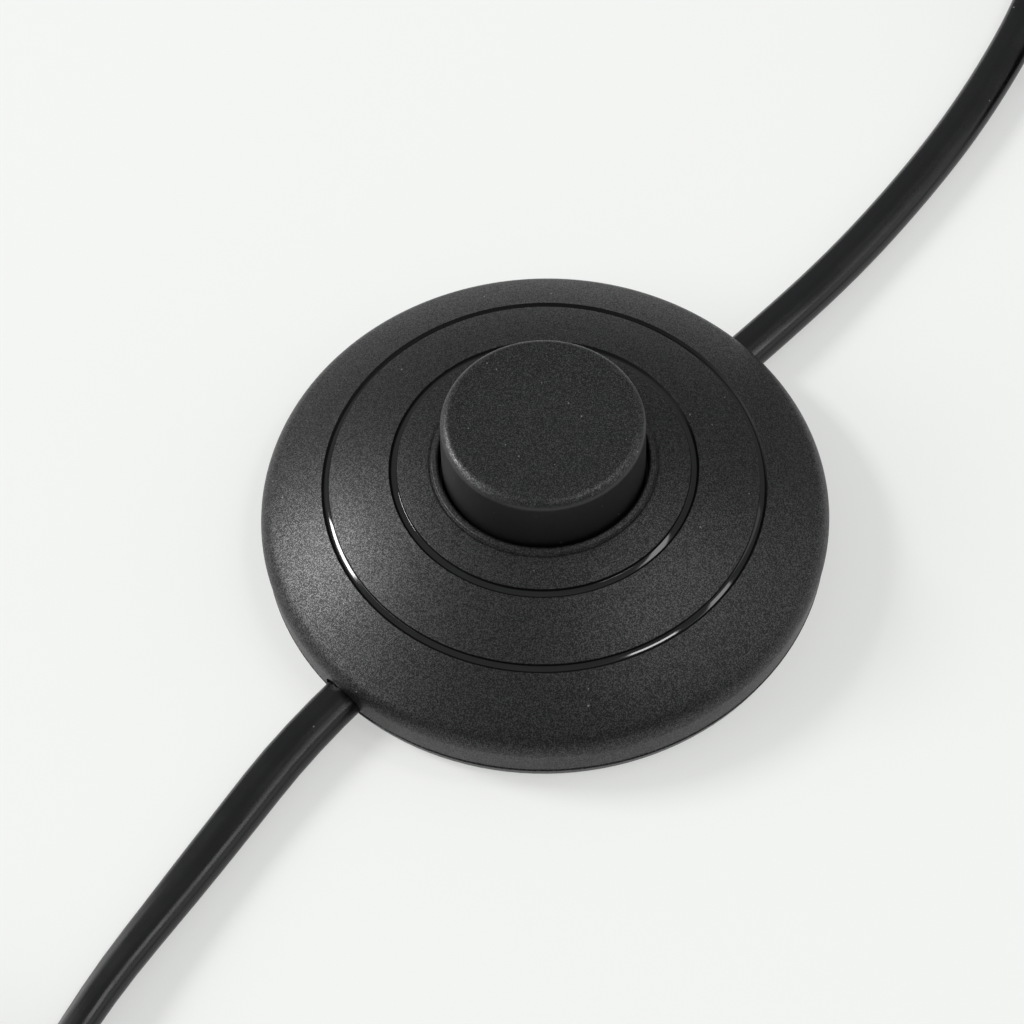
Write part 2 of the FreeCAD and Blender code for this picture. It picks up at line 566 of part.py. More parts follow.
def helical_slot(name, start_angle):
    """Slot whose direction turns with height as the rotor turns with the stroke."""
    low = f"({STEM_BOTTOM} - running_gap)"
    high = f"({PEG_HEIGHT} + button_travel + peg_radius + running_gap)"
    inner = "(hub_radius - stem_gap)"
    steps = 8
    sections = []
    for step in range(steps + 1):
        height = f"({low} + ({high} - {low}) * {step} / {steps})"
        angle = f"({start_angle} + turn_angle * ({height} - {PEG_HEIGHT}) / button_travel)"
        section = doc.addObject("Part::Plane", f"{name}_section")
        tie(section, Length=f"{STEM_OUTER} + stem_gap - {inner}", Width="slot_width")
        section.setExpression("Placement.Rotation.Angle", bound(angle))
        sections.append(put(section, f"{inner} * cos({angle}) + sin({angle}) * slot_width / 2",
                            f"{inner} * sin({angle}) - cos({angle}) * slot_width / 2", height))
    slot = doc.addObject("Part::Loft", name)
    slot.Sections = sections
    slot.Solid = True
    slot.Ruled = True
    return slot


def make_spring():
    """Wire coil between the retainer and the button, its line drawn in short straight steps."""
    low = value(f"{RETAINER_TOP} + thread_gap + spring_wire / 2")
    high = value(f"{CEILING} - thread_gap - spring_wire / 2")
    radius = value(SPRING_RADIUS)
    steps = round(value("spring_turns * spring_steps"))
    line = []
    for step in range(steps + 1):
        angle = math.radians(360 * step / value("spring_steps"))
        height = low + (high - low) * step / steps
        line.append(Vector(radius * math.cos(angle), radius * math.sin(angle), height))
    section = polygon_section(line[0], line[1] - line[0], value("spring_wire / 2"), 6)
    path = Part.Wire(Part.makePolygon(line))
    solid, frenet, right_corner = True, False, 1
    return soft("return_spring", path.makePipeShell([section.OuterWire], solid, frenet, right_corner))


def make_rotor():
    hub = turned("rotor_hub", [
        (HUB_BORE, ROTOR_BOTTOM), ("rotor_radius", ROTOR_BOTTOM), ("rotor_radius", ROTOR_TOP),
        ("hub_radius", ROTOR_TOP), ("hub_radius", HUB_TOP), ("0", HUB_TOP), ("0", HUB_BORE_TOP),
        (HUB_BORE, HUB_BORE_TOP)])
    extras = prisms("bridge_stake", STAKE_PLACES, "stake_radius", BRIDGE_BOTTOM,
                    f"{ROTOR_BOTTOM} + tip_height")
    root = f"(({HUB_BORE} + hub_radius) / 2)"
    for side in (1, -1):
        peg = doc.addObject("Part::Cylinder", "drive_peg")
        tie(peg, Radius="peg_radius", Height=f"peg_reach - {root}")
        peg.Placement.Rotation = FreeCAD.Rotation(Vector(0, 1, 0), 90 * side)
        extras.append(put(peg, f"{side} * {root}", "0", PEG_HEIGHT))
    return fuse("ratchet_rotor", [hub, *extras])


def make_bridge():
    start = tuple(f"(-1 * {BRIDGE_REACH} * {turn}({BRIDGE_ANGLE}))" for turn in ("cos", "sin"))
    strip = bar("bridge_bar", start, BRIDGE_ANGLE, f"2 * {BRIDGE_REACH}", "bridge_width", BRIDGE_BOTTOM,
                "bridge_thickness")
    tip_places = [tuple(f"({s} * rivet_circle * {turn}({BRIDGE_ANGLE}))" for turn in ("cos", "sin"))
                  for s in (1, -1)]
    tips = rods("bridge_tip", tip_places, "tip_radius", TIP_BOTTOM, f"{BRIDGE_BOTTOM} + tip_height")
    hub = rod("bridge_eye", "collar_radius", BRIDGE_BOTTOM, ROTOR_BOTTOM)
    holes = prisms("stake_hole", STAKE_PLACES, "stake_radius + thread_gap", BRIDGE_BOTTOM, ROTOR_BOTTOM)
    holes.append(rod("bridge_bore", HUB_BORE, BRIDGE_BOTTOM, ROTOR_BOTTOM))
    return cut("contact_bridge", fuse("bridge_blank", [strip, hub, *tips]), holes)


def make_retainer():
    disc = rod("retainer_disc", "retainer_radius", RETAINER_BOTTOM, RETAINER_TOP)
    ends = rods("retainer_end", RETAINER_PLACES, "retainer_ear", RETAINER_BOTTOM, RETAINER_TOP)
    arm = bar("retainer_arm", RETAINER_PLACES[1], "retainer_angle", "2 * retainer_circle", "2 * retainer_ear",
              RETAINER_BOTTOM, "retainer_thickness")
    holes = rods("retainer_way", RETAINER_PLACES, "small_screw_radius + fit_gap", RETAINER_BOTTOM,
                 RETAINER_TOP)
    holes.append(rod("retainer_bore", STEM_INNER, RETAINER_BOTTOM, RETAINER_TOP))
    return cut("rotor_retainer", fuse("retainer_blank", [disc, arm, *ends]), holes)


def make_live_strip(name, side):
    eye = rod("live_eye", "eye_radius", "strip_height", STRIP_TOP, LIVE_PLACES[side])
    pad = rod("live_pad", "pad_radius", "strip_height", STRIP_TOP, RIVET_PLACES[side])
    run = f"({side} * ({LIVE_X} - rivet_circle))"
    arm = bar("live_arm", RIVET_PLACES[side], f"atan2(live_y; {run})", f"sqrt(live_y ^ 2 + {run} ^ 2)",
              "arm_width", "strip_height", "strip_thickness")
    levels = "strip_height", STRIP_TOP
    holes = [rod("live_screw_way", "terminal_radius + fit_gap", *levels, LIVE_PLACES[side]),
             prism("live_rivet_way", "rivet_shank + thread_gap", *levels, RIVET_PLACES[side])]
    return cut(f"live_contact_{name}", fuse("live_blank", [eye, pad, arm]), holes)


def make_neutral_link():
    eyes = rods("neutral_eye", NEUTRAL_PLACES.values(), "eye_radius", "strip_height", STRIP_TOP)
    span = bar("neutral_span", NEUTRAL_PLACES[SUPPLY], "0", f"2 * {NEUTRAL_X}", "link_width", "strip_height",
               "strip_thickness")
    holes = rods("neutral_screw_way", NEUTRAL_PLACES.values(), "terminal_radius + fit_gap", "strip_height",
                 STRIP_TOP)
    return cut("neutral_link", fuse("neutral_blank", [span, *eyes]), holes)


def make_clamp(name, side):
    ends = rods("clamp_end", CLAMP_PLACES[side], "clamp_width / 2", CLAMP_BOTTOM, CLAMP_TOP)
    span = bar("clamp_span", CLAMP_PLACES[side][1], "90", "2 * clamp_hole", "clamp_width", CLAMP_BOTTOM,
               "clamp_thickness")
    holes = rods("clamp_way", CLAMP_PLACES[side], "clamp_screw + fit_gap", CLAMP_BOTTOM, CLAMP_TOP)
    return cut(f"cord_clamp_{name}", fuse("clamp_blank", [span, *ends]), holes)


def core_end(place, side, hand):
    """Where a core's insulation ends: beside its terminal screw, one eye short of it."""
    x = value(place[0]) + side * value(WIRE_OFFSET)
    y = value(place[1]) - hand * value("eye_radius + core_radius")
    return Vector(x, y, value(f"{WIRE_HEIGHT} + core_radius - wire_radius"))


def make_core(label, place, side, hand):
    """Insulated core from the end of the sheath to its terminal; hand is 1 for live and -1 for neutral."""
    start = Vector(side * value(SHEATH_END), hand * value("core_spread"), value("cord_height"))
    end = core_end(place, side, hand)
    share = value("core_bend")
    first_bend = Vector(start.x + (end.x - start.x) * share, start.y, start.z)
    last_bend = Vector(end.x, start.y + (end.y - start.y) * share, end.z)
    section = polygon_section(start, first_bend - start, value("core_radius"), 8)
    return soft(label, carried(section, [start, first_bend, last_bend, end], label))


def make_wire_ends():
    wires = []
    for side in SIDES.values():
        for place, hand in ((LIVE_PLACES[side], 1), (NEUTRAL_PLACES[side], -1)):
            start = core_end(place, side, hand)
            start.z = value(WIRE_HEIGHT)
            way = Vector(0, hand * value("eye_radius + core_radius + terminal_radius"), 0)
            wires.append(polygon_section(start, way, value("wire_radius"), 6).extrude(way))
    return soft("bare_wire_ends", Part.makeCompound(wires))


def coil_sizes(name):
    half = f"({name}_columns * (cord_thickness + coil_play) / 2)"
    top = f"(coil_lift + {name}_layers * (cord_width + coil_play))"
    return f"({name}_coil_radius - {half})", f"({name}_coil_radius + {half})", top


def make_coil(name, side):
    inner, outer, top = coil_sizes(name)
    place = tuple(str(number) for number in COIL_CENTRE[side])
    whole = rod(f"{name}_coil_outside", outer, "coil_lift", top, place)
    return cut(f"{name}_cord_coil", whole, [rod(f"{name}_coil_middle", inner, "coil_lift", top, place)])


def make_coil_tie(name, side):
    inner, outer, top = coil_sizes(name)
    angle = f"({-side} * tie_angle)"
    centre = COIL_CENTRE[side]
    loops = []
    for margin in ("(fit_gap + tie_thickness)", "fit_gap"):
        start = tuple(f"({number} + ({inner} - {margin}) * {turn}({angle}))"
                      for number, turn in zip(centre, ("cos", "sin")))
        loops.append(bar(f"{name}_tie_loop", start, angle, f"{outer} - {inner} + 2 * {margin}", "tie_width",
                         f"coil_lift - {margin}", f"{top} - coil_lift + 2 * {margin}"))
    return cut(f"{name}_coil_tie", loops[0], [loops[1]])


def make_plug():
    body = doc.addObject("PartDesign::Body", "plug_blank")
    inset, tip, root = "2 * plug_face_inset", "2 * relief_wall", "2 * root_wall"
    stations = [("0", f"cord_width + {tip}", f"cord_thickness + {tip}", "relief_corner"),
                ("plug_relief", f"cord_width + {root}", f"cord_thickness + {root}", "root_corner"),
                ("plug_neck", "neck_width", "neck_thickness", "neck_corner"),
                ("plug_shoulder", "plug_width", "plug_thickness", "plug_corner"),
                (f"plug_face - {inset}", "plug_width", "plug_thickness", "plug_corner"),
                ("plug_face", f"plug_width - {inset}", f"plug_thickness - {inset}", "plug_corner")]
    sketches = []
    for number, (along, width, thickness, corner) in enumerate(stations):
        corners = rounded_box(f"-1 * ({width}) / 2", f"({width}) / 2", f"-1 * ({thickness}) / 2",
                              f"({thickness}) / 2", corner)
        sketches.append(outline(body, "YZ_Plane", f"plug_section_{number}", corners, along))
    loft = body.newObject("PartDesign::AdditiveLoft", "plug_loft")
    loft.Profile = sketches[0]
    loft.Sections = sketches[1:]
    loft.Ruled = True
    seat = ("plug_face - pin_seat", "pin_seat")
    bores, pins = [], []
    for side in (1, -1):
        bores.append(plug_rod("pin_bore", side, "pin_root + thread_gap", *seat))
        shaft = plug_rod("pin_shaft", side, "pin_radius", "plug_face", "pin_length")
        pins.append(fuse("plug_pin", [shaft, plug_rod("pin_root", side, "pin_root", *seat)]))
    whole = cut("plug_body", body, [*bores, *relief_slots()])
    pins = group("plug_pins", pins)
    for piece in (whole, pins):
        piece.setExpression("Placement.Rotation.Angle", bound("plug_turn"))
        end = SUPPLY_TAIL[-1]
        put(piece, str(end[0]), str(end[1]), "plug_thickness / 2")
    return whole, pins


def relief_slots():
    """Slots across the plug's cord relief, from above and from below, that let it bend with the cord."""
    low = "(cord_thickness / 2 + relief_floor)"
    slots = []
    for number in range(1, int(value("plug_relief / relief_pitch"))):
        start = (f"{number} * relief_pitch", "plug_width / -2")
        for bottom in (low, f"(-1 * {low} - plug_thickness)"):
            slots.append(bar("relief_slot_tool", start, "90", "plug_width", "relief_slot", bottom,
                             "plug_thickness"))
    return slots


def plug_rod(name, side, radius, start, length):
    """Rod along the plug, on one pin's line."""
    solid = tie(doc.addObject("Part::Cylinder", name), Radius=radius, Height=length)
    solid.Placement.Rotation = FreeCAD.Rotation(Vector(0, 1, 0), 90)
    return put(solid, start, f"{side} * pin_spacing / 2", "0")


def make_lamp_end():
    """Split end of the lamp cord: two cores that lie across the coil, with bare wires at their tips."""
    centre = COIL_CENTRE[LAMP]
    _, _, top = coil_sizes("lamp")
    height = f"({top} + thread_gap + core_radius)"
    lengths = {"lamp_end_cores": ("core_radius", "end_core_length", "(end_core_length / -2)"),
               "lamp_end_wires": ("wire_radius", "end_wire_length", "(end_core_length / 2)")}
    ends = []
    for label, (radius, length, along) in lengths.items():
        pair = []
        for hand in (1, -1):
            piece = tie(doc.addObject("Part::Cylinder", f"{label}_one"), Radius=radius, Height=length)
            piece.Placement.Rotation = FreeCAD.Rotation(Vector(1, 0, 0), 90)
            pair.append(put(piece, f"lamp_coil_radius + {hand} * core_spread", f"-1 * {along}", height))
        both = group(label, pair)
        both.setExpression("Placement.Rotation.Angle", bound("end_core_angle"))
        ends.append(put(both, *(str(number) for number in centre)))
    return ends


def build():
    pieces = [make_cover(), make_base(), make_button(), make_spring(), make_rotor(), make_bridge(),
              make_retainer(), make_neutral_link(), make_wire_ends()]
    pieces.append(make_screws("cover_screws", SCREW_PLACES, "screw_radius", f"{SCREW_RECESS} + screw_length",
                              SCREW_RECESS, "screw_head_radius", "screw_sink"))
    pieces.append(make_screws("retainer_screws", RETAINER_PLACES, "small_screw_radius",
                              f"{RETAINER_BOTTOM} - small_screw_depth", RETAINER_TOP, "small_head_radius",
                              f"{RETAINER_TOP} + small_head_height"))
    pieces.append(make_screws("terminal_screws", TERMINAL_PLACES, "terminal_radius",
                              "strip_height - terminal_depth", TERMINAL_HEAD_BOTTOM, "terminal_head",
                              f"{TERMINAL_HEAD_BOTTOM} + terminal_head_height"))
    pieces.append(make_screws("clamp_screws", ALL_CLAMP_PLACES, "clamp_screw",
                              f"{CLAMP_BOTTOM} - clamp_screw_depth", CLAMP_TOP, "clamp_head",
                              f"{CLAMP_TOP} + clamp_head_height"))
    pieces.append(make_screws("contact_rivets", RIVET_PLACES.values(), "rivet_shank",
                              "strip_height - rivet_depth", STRIP_TOP, "rivet_radius",
                              f"{STRIP_TOP} + rivet_head"))
    for name, side in SIDES.items():
        pieces += [make_live_strip(name, side), make_clamp(name, side)]
        pieces += [make_coil(name, side), make_coil_tie(name, side)]
        pieces.append(make_core(f"{name}_live_core", LIVE_PLACES[side], side, 1))
        pieces.append(make_core(f"{name}_neutral_core", NEUTRAL_PLACES[side], side, -1))
        run = SUPPLY_RUN if side == SUPPLY else LAMP_RUN
        height = value("cord_height")
        inside = (side * value(SHEATH_END), 0.0, height)
        outside = (side * value("housing_radius + run_lead"), 0.0, height)
        pieces.append(flat_cord(f"{name}_cord", [inside, outside, *run]))
    pieces.append(flat_cord("supply_cord_tail", SUPPLY_TAIL))
    pieces += make_plug()
    pieces += make_lamp_end()
    return pieces


def check(pieces):
    for thing in doc.Objects:
        if "Invalid" in thing.State or "Error" in thing.State:
            raise RuntimeError(f"{thing.Label} failed: {thing.State}")
    for piece in pieces:
        if piece.Shape.isNull() or not piece.Shape.isValid() or not piece.Shape.Solids:
            raise RuntimeError(f"{piece.Label} has no sound solid")


parts = build()
doc.recompute()
check(parts)
os.makedirs("parts", exist_ok=True)
for part in parts:
    part.Shape.exportStep(f"parts/{part.Label}.step")
    print(f"{part.Label}: {len(part.Shape.Solids)} solids, {part.Shape.Volume:.1f} mm3")
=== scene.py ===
"""Looks of a lamp foot switch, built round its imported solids.

The floor is z = 0, the button moves along z and the cord leaves the housing along x. Lengths are in metres.
"""

import json
import logging
import math
from contextlib import contextmanager
from dataclasses import dataclass
from enum import Enum
from typing import Any, Iterator, Sequence

import bpy
from mathutils import Matrix, Vector


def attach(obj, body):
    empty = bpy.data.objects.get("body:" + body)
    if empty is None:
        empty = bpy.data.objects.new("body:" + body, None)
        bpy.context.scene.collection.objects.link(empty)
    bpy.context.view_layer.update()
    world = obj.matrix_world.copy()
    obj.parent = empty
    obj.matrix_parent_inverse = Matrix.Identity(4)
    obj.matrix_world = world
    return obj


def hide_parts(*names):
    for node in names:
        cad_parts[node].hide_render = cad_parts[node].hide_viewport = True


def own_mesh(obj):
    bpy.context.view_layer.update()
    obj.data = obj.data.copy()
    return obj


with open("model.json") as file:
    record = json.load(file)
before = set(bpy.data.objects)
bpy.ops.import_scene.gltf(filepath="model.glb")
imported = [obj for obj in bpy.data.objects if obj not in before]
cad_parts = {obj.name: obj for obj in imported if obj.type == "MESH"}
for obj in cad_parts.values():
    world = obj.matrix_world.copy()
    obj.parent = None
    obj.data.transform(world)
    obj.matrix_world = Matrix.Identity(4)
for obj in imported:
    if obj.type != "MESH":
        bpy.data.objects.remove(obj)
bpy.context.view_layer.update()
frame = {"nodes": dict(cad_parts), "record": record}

log = logging.getLogger("foot_switch")

MM = 0.001
SAME_PLACE = MM / 1000
DUST_SCALE = 900.0
BUMP_STRENGTH = 0.5
HOUSING, BUTTON = "housing", "button"

Piece = bpy.types.Object
Point2 = tuple[float, float]
Point3 = tuple[float, float, float]
Colour = tuple[float, float, float, float]


class Side(Enum):
    """The two ways in which the cord leaves the housing along x."""

    SUPPLY = -1
    LAMP = 1


class Bench:
    """Steps of hand modelling, each on one piece at a time."""

    @staticmethod
    def pick(piece: Piece) -> Piece:
        """Makes one piece the only selected and active one.

        Args:
            piece: The piece.

        Returns:
            The same piece.
        """
        bpy.ops.object.select_all(action="DESELECT")
        piece.select_set(True)
        bpy.context.view_layer.objects.active = piece
        return piece

    @staticmethod
    def added(name: str) -> Piece:
        """Names the piece that a primitive operator has just added.

        Args:
            name: Name of the piece.

        Returns:
            The piece.
        """
        piece = bpy.context.active_object
        piece.name = name
        piece.data.name = name
        return piece

    @staticmethod
    @contextmanager
    def editing(piece: Piece) -> Iterator[Piece]:
        """Holds one piece in edit mode while a block runs.

        Args:
            piece: The piece.

        Yields:
            The same piece.
        """
        Bench.pick(piece)
        bpy.ops.object.mode_set(mode="EDIT")
        try:
            yield piece
        finally:
            bpy.ops.object.mode_set(mode="OBJECT")

    @staticmethod
    def choose(piece: Piece, numbers: range) -> None:
        """Selects vertices by their numbers.

        Args:
            piece: The piece, which is in edit mode.
            numbers: Numbers of the vertices.
        """
        bpy.ops.mesh.select_mode(type="VERT")
        bpy.ops.mesh.select_all(action="DESELECT")
        bpy.ops.object.mode_set(mode="OBJECT")
        for vertex in piece.data.vertices:
            vertex.select = vertex.index in numbers
        bpy.ops.object.mode_set(mode="EDIT")

    @staticmethod
    def face_outwards() -> None:
        """Turns all the faces of the piece in edit mode outwards."""
        bpy.ops.mesh.select_all(action="SELECT")
        bpy.ops.mesh.normals_make_consistent(inside=False)

    @staticmethod
    def settle(piece: Piece) -> Piece:
        """Moves a piece's place, turn and scale into its mesh.

        Args:
            piece: The piece.

        Returns:
            The same piece.
        """
        Bench.pick(piece)
        bpy.ops.object.transform_apply(location=True, rotation=True, scale=True)
        return piece

    @staticmethod
    def modify(piece: Piece, kind: str, **settings: Any) -> Piece:
        """Adds a modifier with the given settings and applies it.

        Args:
            piece: The piece.
            kind: Type of the modifier.
            settings: Properties of the modifier.

        Returns:
            The same piece.
        """
        Bench.pick(piece)
        modifier = piece.modifiers.new(kind.lower(), kind)
        for name, value in settings.items():
            setattr(modifier, name, value)
        bpy.ops.object.modifier_apply(modifier=modifier.name)
        return piece

    @staticmethod
    def carve(piece: Piece, tool: Piece) -> Piece:
        """Cuts a tool out of a piece and removes the tool.

        Args:
            piece: The piece.
            tool: What is cut out of it.

        Returns:
            The same piece.
        """
        Bench.modify(piece, "BOOLEAN", object=tool, operation="DIFFERENCE", solver="EXACT")
        bpy.data.objects.remove(tool)
        return piece

    @staticmethod
    def smooth(piece: Piece, degrees: float = 32.0) -> Piece:
        """Shades a piece smooth, with edges sharper than the angle kept crisp.

        Args:
            piece: The piece.
            degrees: The angle.

        Returns:
            The same piece.
        """
        Bench.pick(piece)
        bpy.ops.object.shade_smooth_by_angle(angle=math.radians(degrees))
        return piece

    @staticmethod
    def rounded_block(name: str, low: Point3, high: Point3, edge: float, segments: int = 4) -> Piece:
        """Block between two corners with all its edges rounded.

        Args:
            name: Name of the piece.
            low: Lowest corner.
            high: Highest corner.
            edge: Radius of the edges.
            segments: Faces across a rounded edge.

        Returns:
            The block, with its place in its mesh.
        """
        middle = (Vector(low) + Vector(high)) / 2
        bpy.ops.object.select_all(action="DESELECT")
        bpy.ops.mesh.primitive_cube_add(size=1, location=middle, scale=Vector(high) - Vector(low))
        block = Bench.settle(Bench.added(name))
        with Bench.editing(block):
            bpy.ops.mesh.select_all(action="SELECT")
            bpy.ops.mesh.bevel(offset=edge, segments=segments, affect="EDGES")
        return block

    @staticmethod
    def drawn(name: str, points: Sequence[Vector]) -> Piece:
        """Draws a closed line of edges, vertex by vertex.

        Args:
            name: Name of the piece.
            points: Corners of the line in order.

        Returns:
            The line, with no faces yet.
        """
        bpy.ops.object.select_all(action="DESELECT")
        bpy.ops.mesh.primitive_plane_add(size=MM)
        piece = Bench.added(name)
        with Bench.editing(piece):
            bpy.ops.mesh.select_mode(type="VERT")
            bpy.ops.mesh.select_all(action="SELECT")
            bpy.ops.mesh.merge(type="CENTER")
            bpy.ops.transform.translate(value=points[0])
            for before, after in zip(points, [*points[1:], points[0]]):
                bpy.ops.mesh.extrude_region_move(TRANSFORM_OT_translate={"value": after - before})
            bpy.ops.mesh.select_all(action="SELECT")
            bpy.ops.mesh.remove_doubles(threshold=SAME_PLACE)
        return piece

    @staticmethod
    def turned(name: str, profile: Sequence[Point2], steps: int) -> Piece:
        """Draws a closed profile and spins it about z.

        Args:
            name: Name of the piece.
            profile: Points of (radius, height), in order round the section.
            steps: Steps round the circle.

        Returns:
            The turned piece, closed and with its faces outwards.
        """
        piece = Bench.drawn(name, [Vector((radius, 0, height)) for radius, height in profile])
        with Bench.editing(piece):
            bpy.ops.mesh.select_all(action="SELECT")
            bpy.ops.mesh.spin(steps=steps, angle=2 * math.pi, center=(0, 0, 0), axis=(0, 0, 1))
            bpy.ops.mesh.select_all(action="SELECT")
            bpy.ops.mesh.remove_doubles(threshold=SAME_PLACE)
            bpy.ops.mesh.normals_make_consistent(inside=False)
        return piece

    @staticmethod
    def joined(first: Piece, *others: Piece) -> Piece:
        """Makes several pieces one, in their order.

        Args:
            first: The piece that takes up the others.
            others: The other pieces.

        Returns:
            The first piece.
        """
        for other in others:
            Bench.pick(first)
            other.select_set(True)
            bpy.ops.object.join()
        return first

    @staticmethod
    def copied(piece: Piece, name: str) -> Piece:
        """Copy of a piece with a mesh of its own.

        Args:
            piece: The piece.
            name: Name of the copy.

        Returns:
            The copy.
        """
        copy = piece.copy()
        copy.data = piece.data.copy()
        copy.name = copy.data.name = name
        bpy.context.scene.collection.objects.link(copy)
        return copy

    @staticmethod
    def lofted(name: str, loops: Sequence[Sequence[Vector]]) -> Piece:
        """Draws sections with equal numbers of corners and bridges each to the next.

        Args:
            name: Name of the piece.
            loops: Sections in order, each a closed line.

        Returns:
            The piece, closed at both ends and with its faces outwards.
        """
        piece = Bench.joined(*[Bench.drawn(name, loop) for loop in loops])
        size = len(loops[0])
        with Bench.editing(piece):
            for number in range(len(loops) - 1):
                Bench.choose(piece, range(number * size, (number + 2) * size))
                bpy.ops.mesh.bridge_edge_loops()
            for number in (0, len(loops) - 1):
                Bench.choose(piece, range(number * size, (number + 1) * size))
                bpy.ops.mesh.edge_face_add()
            Bench.face_outwards()
        return piece


def arc(centre: Point2, radius: float, start: float, end: float, count: int) -> list[Point2]:
    """Points on an arc, its two ends included.

    Args:
        centre: Middle of the arc.
        radius: Radius of the arc.
        start: Direction of the first point, in degrees.
        end: Direction of the last point, in degrees.
        count: Number of points.

    Returns:
        The points in order.
    """
    turns = [math.radians(start + (end - start) * n / (count - 1)) for n in range(count)]
    return [(centre[0] + radius * math.cos(a), centre[1] + radius * math.sin(a)) for a in turns]


def rounded(corners: Sequence[Point3], count: int = 5) -> list[Point2]:
    """Open line through corners, each rounded by a radius of its own.

    Args:
        corners: Points of (across, up, radius); a radius of 0 keeps the corner sharp.
        count: Points on each rounding.

    Returns:
        The points of the line in order.
    """
    points = [Vector(corner[:2]) for corner in corners]
    line = [tuple(points[0])]
    for before, here, after, corner in zip(points, points[1:], points[2:], corners[1:]):
        back, ahead = (before - here).normalized(), (after - here).normalized()
        half = back.angle(ahead) / 2
        reach = corner[2] / math.tan(half)
        hub = here + (back + ahead).normalized() * corner[2] / math.sin(half)
        start, end = here + back * reach - hub, here + ahead * reach - hub
        steps = [n / (count - 1) for n in range(count)] if corner[2] else []
        line += [tuple(hub + start.slerp(end, step) * corner[2]) for step in steps] or [tuple(here)]
    return line + [tuple(points[-1])]


def rounded_section(half_width: float, half_height: float, corner: float) -> list[Point2]:
    """Closed outline of a rectangle with rounded corners, from the middle of its lower side.

    Args:
        half_width: Half its width.
        half_height: Half its height.
        corner: Radius of its corners.

    Returns:
        The points in order.
    """
    line = [(0.0, -half_height, 0.0), (half_width, -half_height, corner), (half_width, half_height, corner),
            (-half_width, half_height, corner), (-half_width, -half_height, corner), (0.0, -half_height, 0.0)]
    return rounded(line, count=7)[:-1]


def spline_points(name: str, route: Sequence[Point3]) -> list[Vector]:
    """Points read from a smooth spline whose control points are the route's.

    Args:
        name: Name for the spline while it exists.
        route: The control points.

    Returns:
        The points in order.
    """
    curve = bpy.data.curves.new(f"{name}_line", "CURVE")
    curve.dimensions = "3D"
    curve.resolution_u = 6
    spline = curve.splines.new("NURBS")
    spline.points.add(len(route) - 1)
    for point, place in zip(spline.points, route):
        point.co = (*place, 1.0)
    spline.order_u = 3
    spline.use_endpoint_u = True
    holder = bpy.data.objects.new(curve.name, curve)
    bpy.context.scene.collection.objects.link(holder)
    bpy.context.view_layer.update()
    mesh = bpy.data.meshes.new_from_object(holder.evaluated_get(bpy.context.evaluated_depsgraph_get()))
    points = [vertex.co.copy() for vertex in mesh.vertices]
    bpy.data.objects.remove(holder)
    bpy.data.meshes.remove(mesh)
    return points


def eased(share: float) -> float:
    """Share from 0 to 1 that starts and ends gently."""
    share = min(max(share, 0.0), 1.0)
    return share * share * (3 - 2 * share)


def line_length(line: Sequence[Vector]) -> float:
    """Length of a line of points."""
    return sum((after - before).length for before, after in zip(line, line[1:]))


def sideways(line: Sequence[Vector], number: int) -> tuple[Vector, Vector]:
    """Directions across a line at one of its points.

    Args:
        line: The points in order.
        number: Number of the point.

    Returns:
        The level direction and the upward one, square to each other.
    """
    ahead = line[min(number + 1, len(line) - 1)] - line[max(number - 1, 0)]
    level = Vector((0, 0, 1)).cross(ahead).normalized()
    return level, ahead.cross(level).normalized()


def outward(azimuth: float, elevation: float) -> Vector:
    """Direction away from the object, from angles in degrees round it and above the floor."""
    around, above = math.radians(azimuth), math.radians(elevation)
    return Vector((math.sin(around) * math.cos(above), -math.cos(around) * math.cos(above), math.sin(above)))


def bend(before: Point2, here: Point2, after: Point2) -> float:
    """Measure of the turn at a corner, above 0 where it is anticlockwise."""
    return (Vector(here) - Vector(before)).cross(Vector(after) - Vector(here))


def wrapped(points: Sequence[Point2]) -> list[Point2]:
    """Corners of a line pulled tight round points.

    Args:
        points: The points, in any order.

    Returns:
        The corners, anticlockwise.
    """
    ordered = sorted(set(points))
    corners = []
    for way in (ordered, ordered[::-1]):
        side = []
        for point in way:
            while len(side) > 1 and bend(*side[-2:], point) <= 0:
                side.pop()
            side.append(point)
        corners += side[:-1]
    return corners


def spread(outline: Sequence[Point2], distance: float) -> list[Point2]:
    """Outline moved outwards.

    Args:
        outline: Corners of the outline, anticlockwise.
        distance: How far each corner moves.

    Returns:
        The moved corners in order.
    """
    moved = []
    for number, point in enumerate(outline):
        before = Vector(point) - Vector(outline[number - 1])
        after = Vector(outline[(number + 1) % len(outline)]) - Vector(point)
        along = (before.normalized() + after.normalized()).normalized()
        moved.append((point[0] + along.y * distance, point[1] - along.x * distance))
    return moved


# The Mix node has sockets for each kind of data, and these are the numbers of its colour sockets.
MIX_SHARE, MIX_FIRST, MIX_SECOND, MIX_RESULT = 0, 6, 7, 2


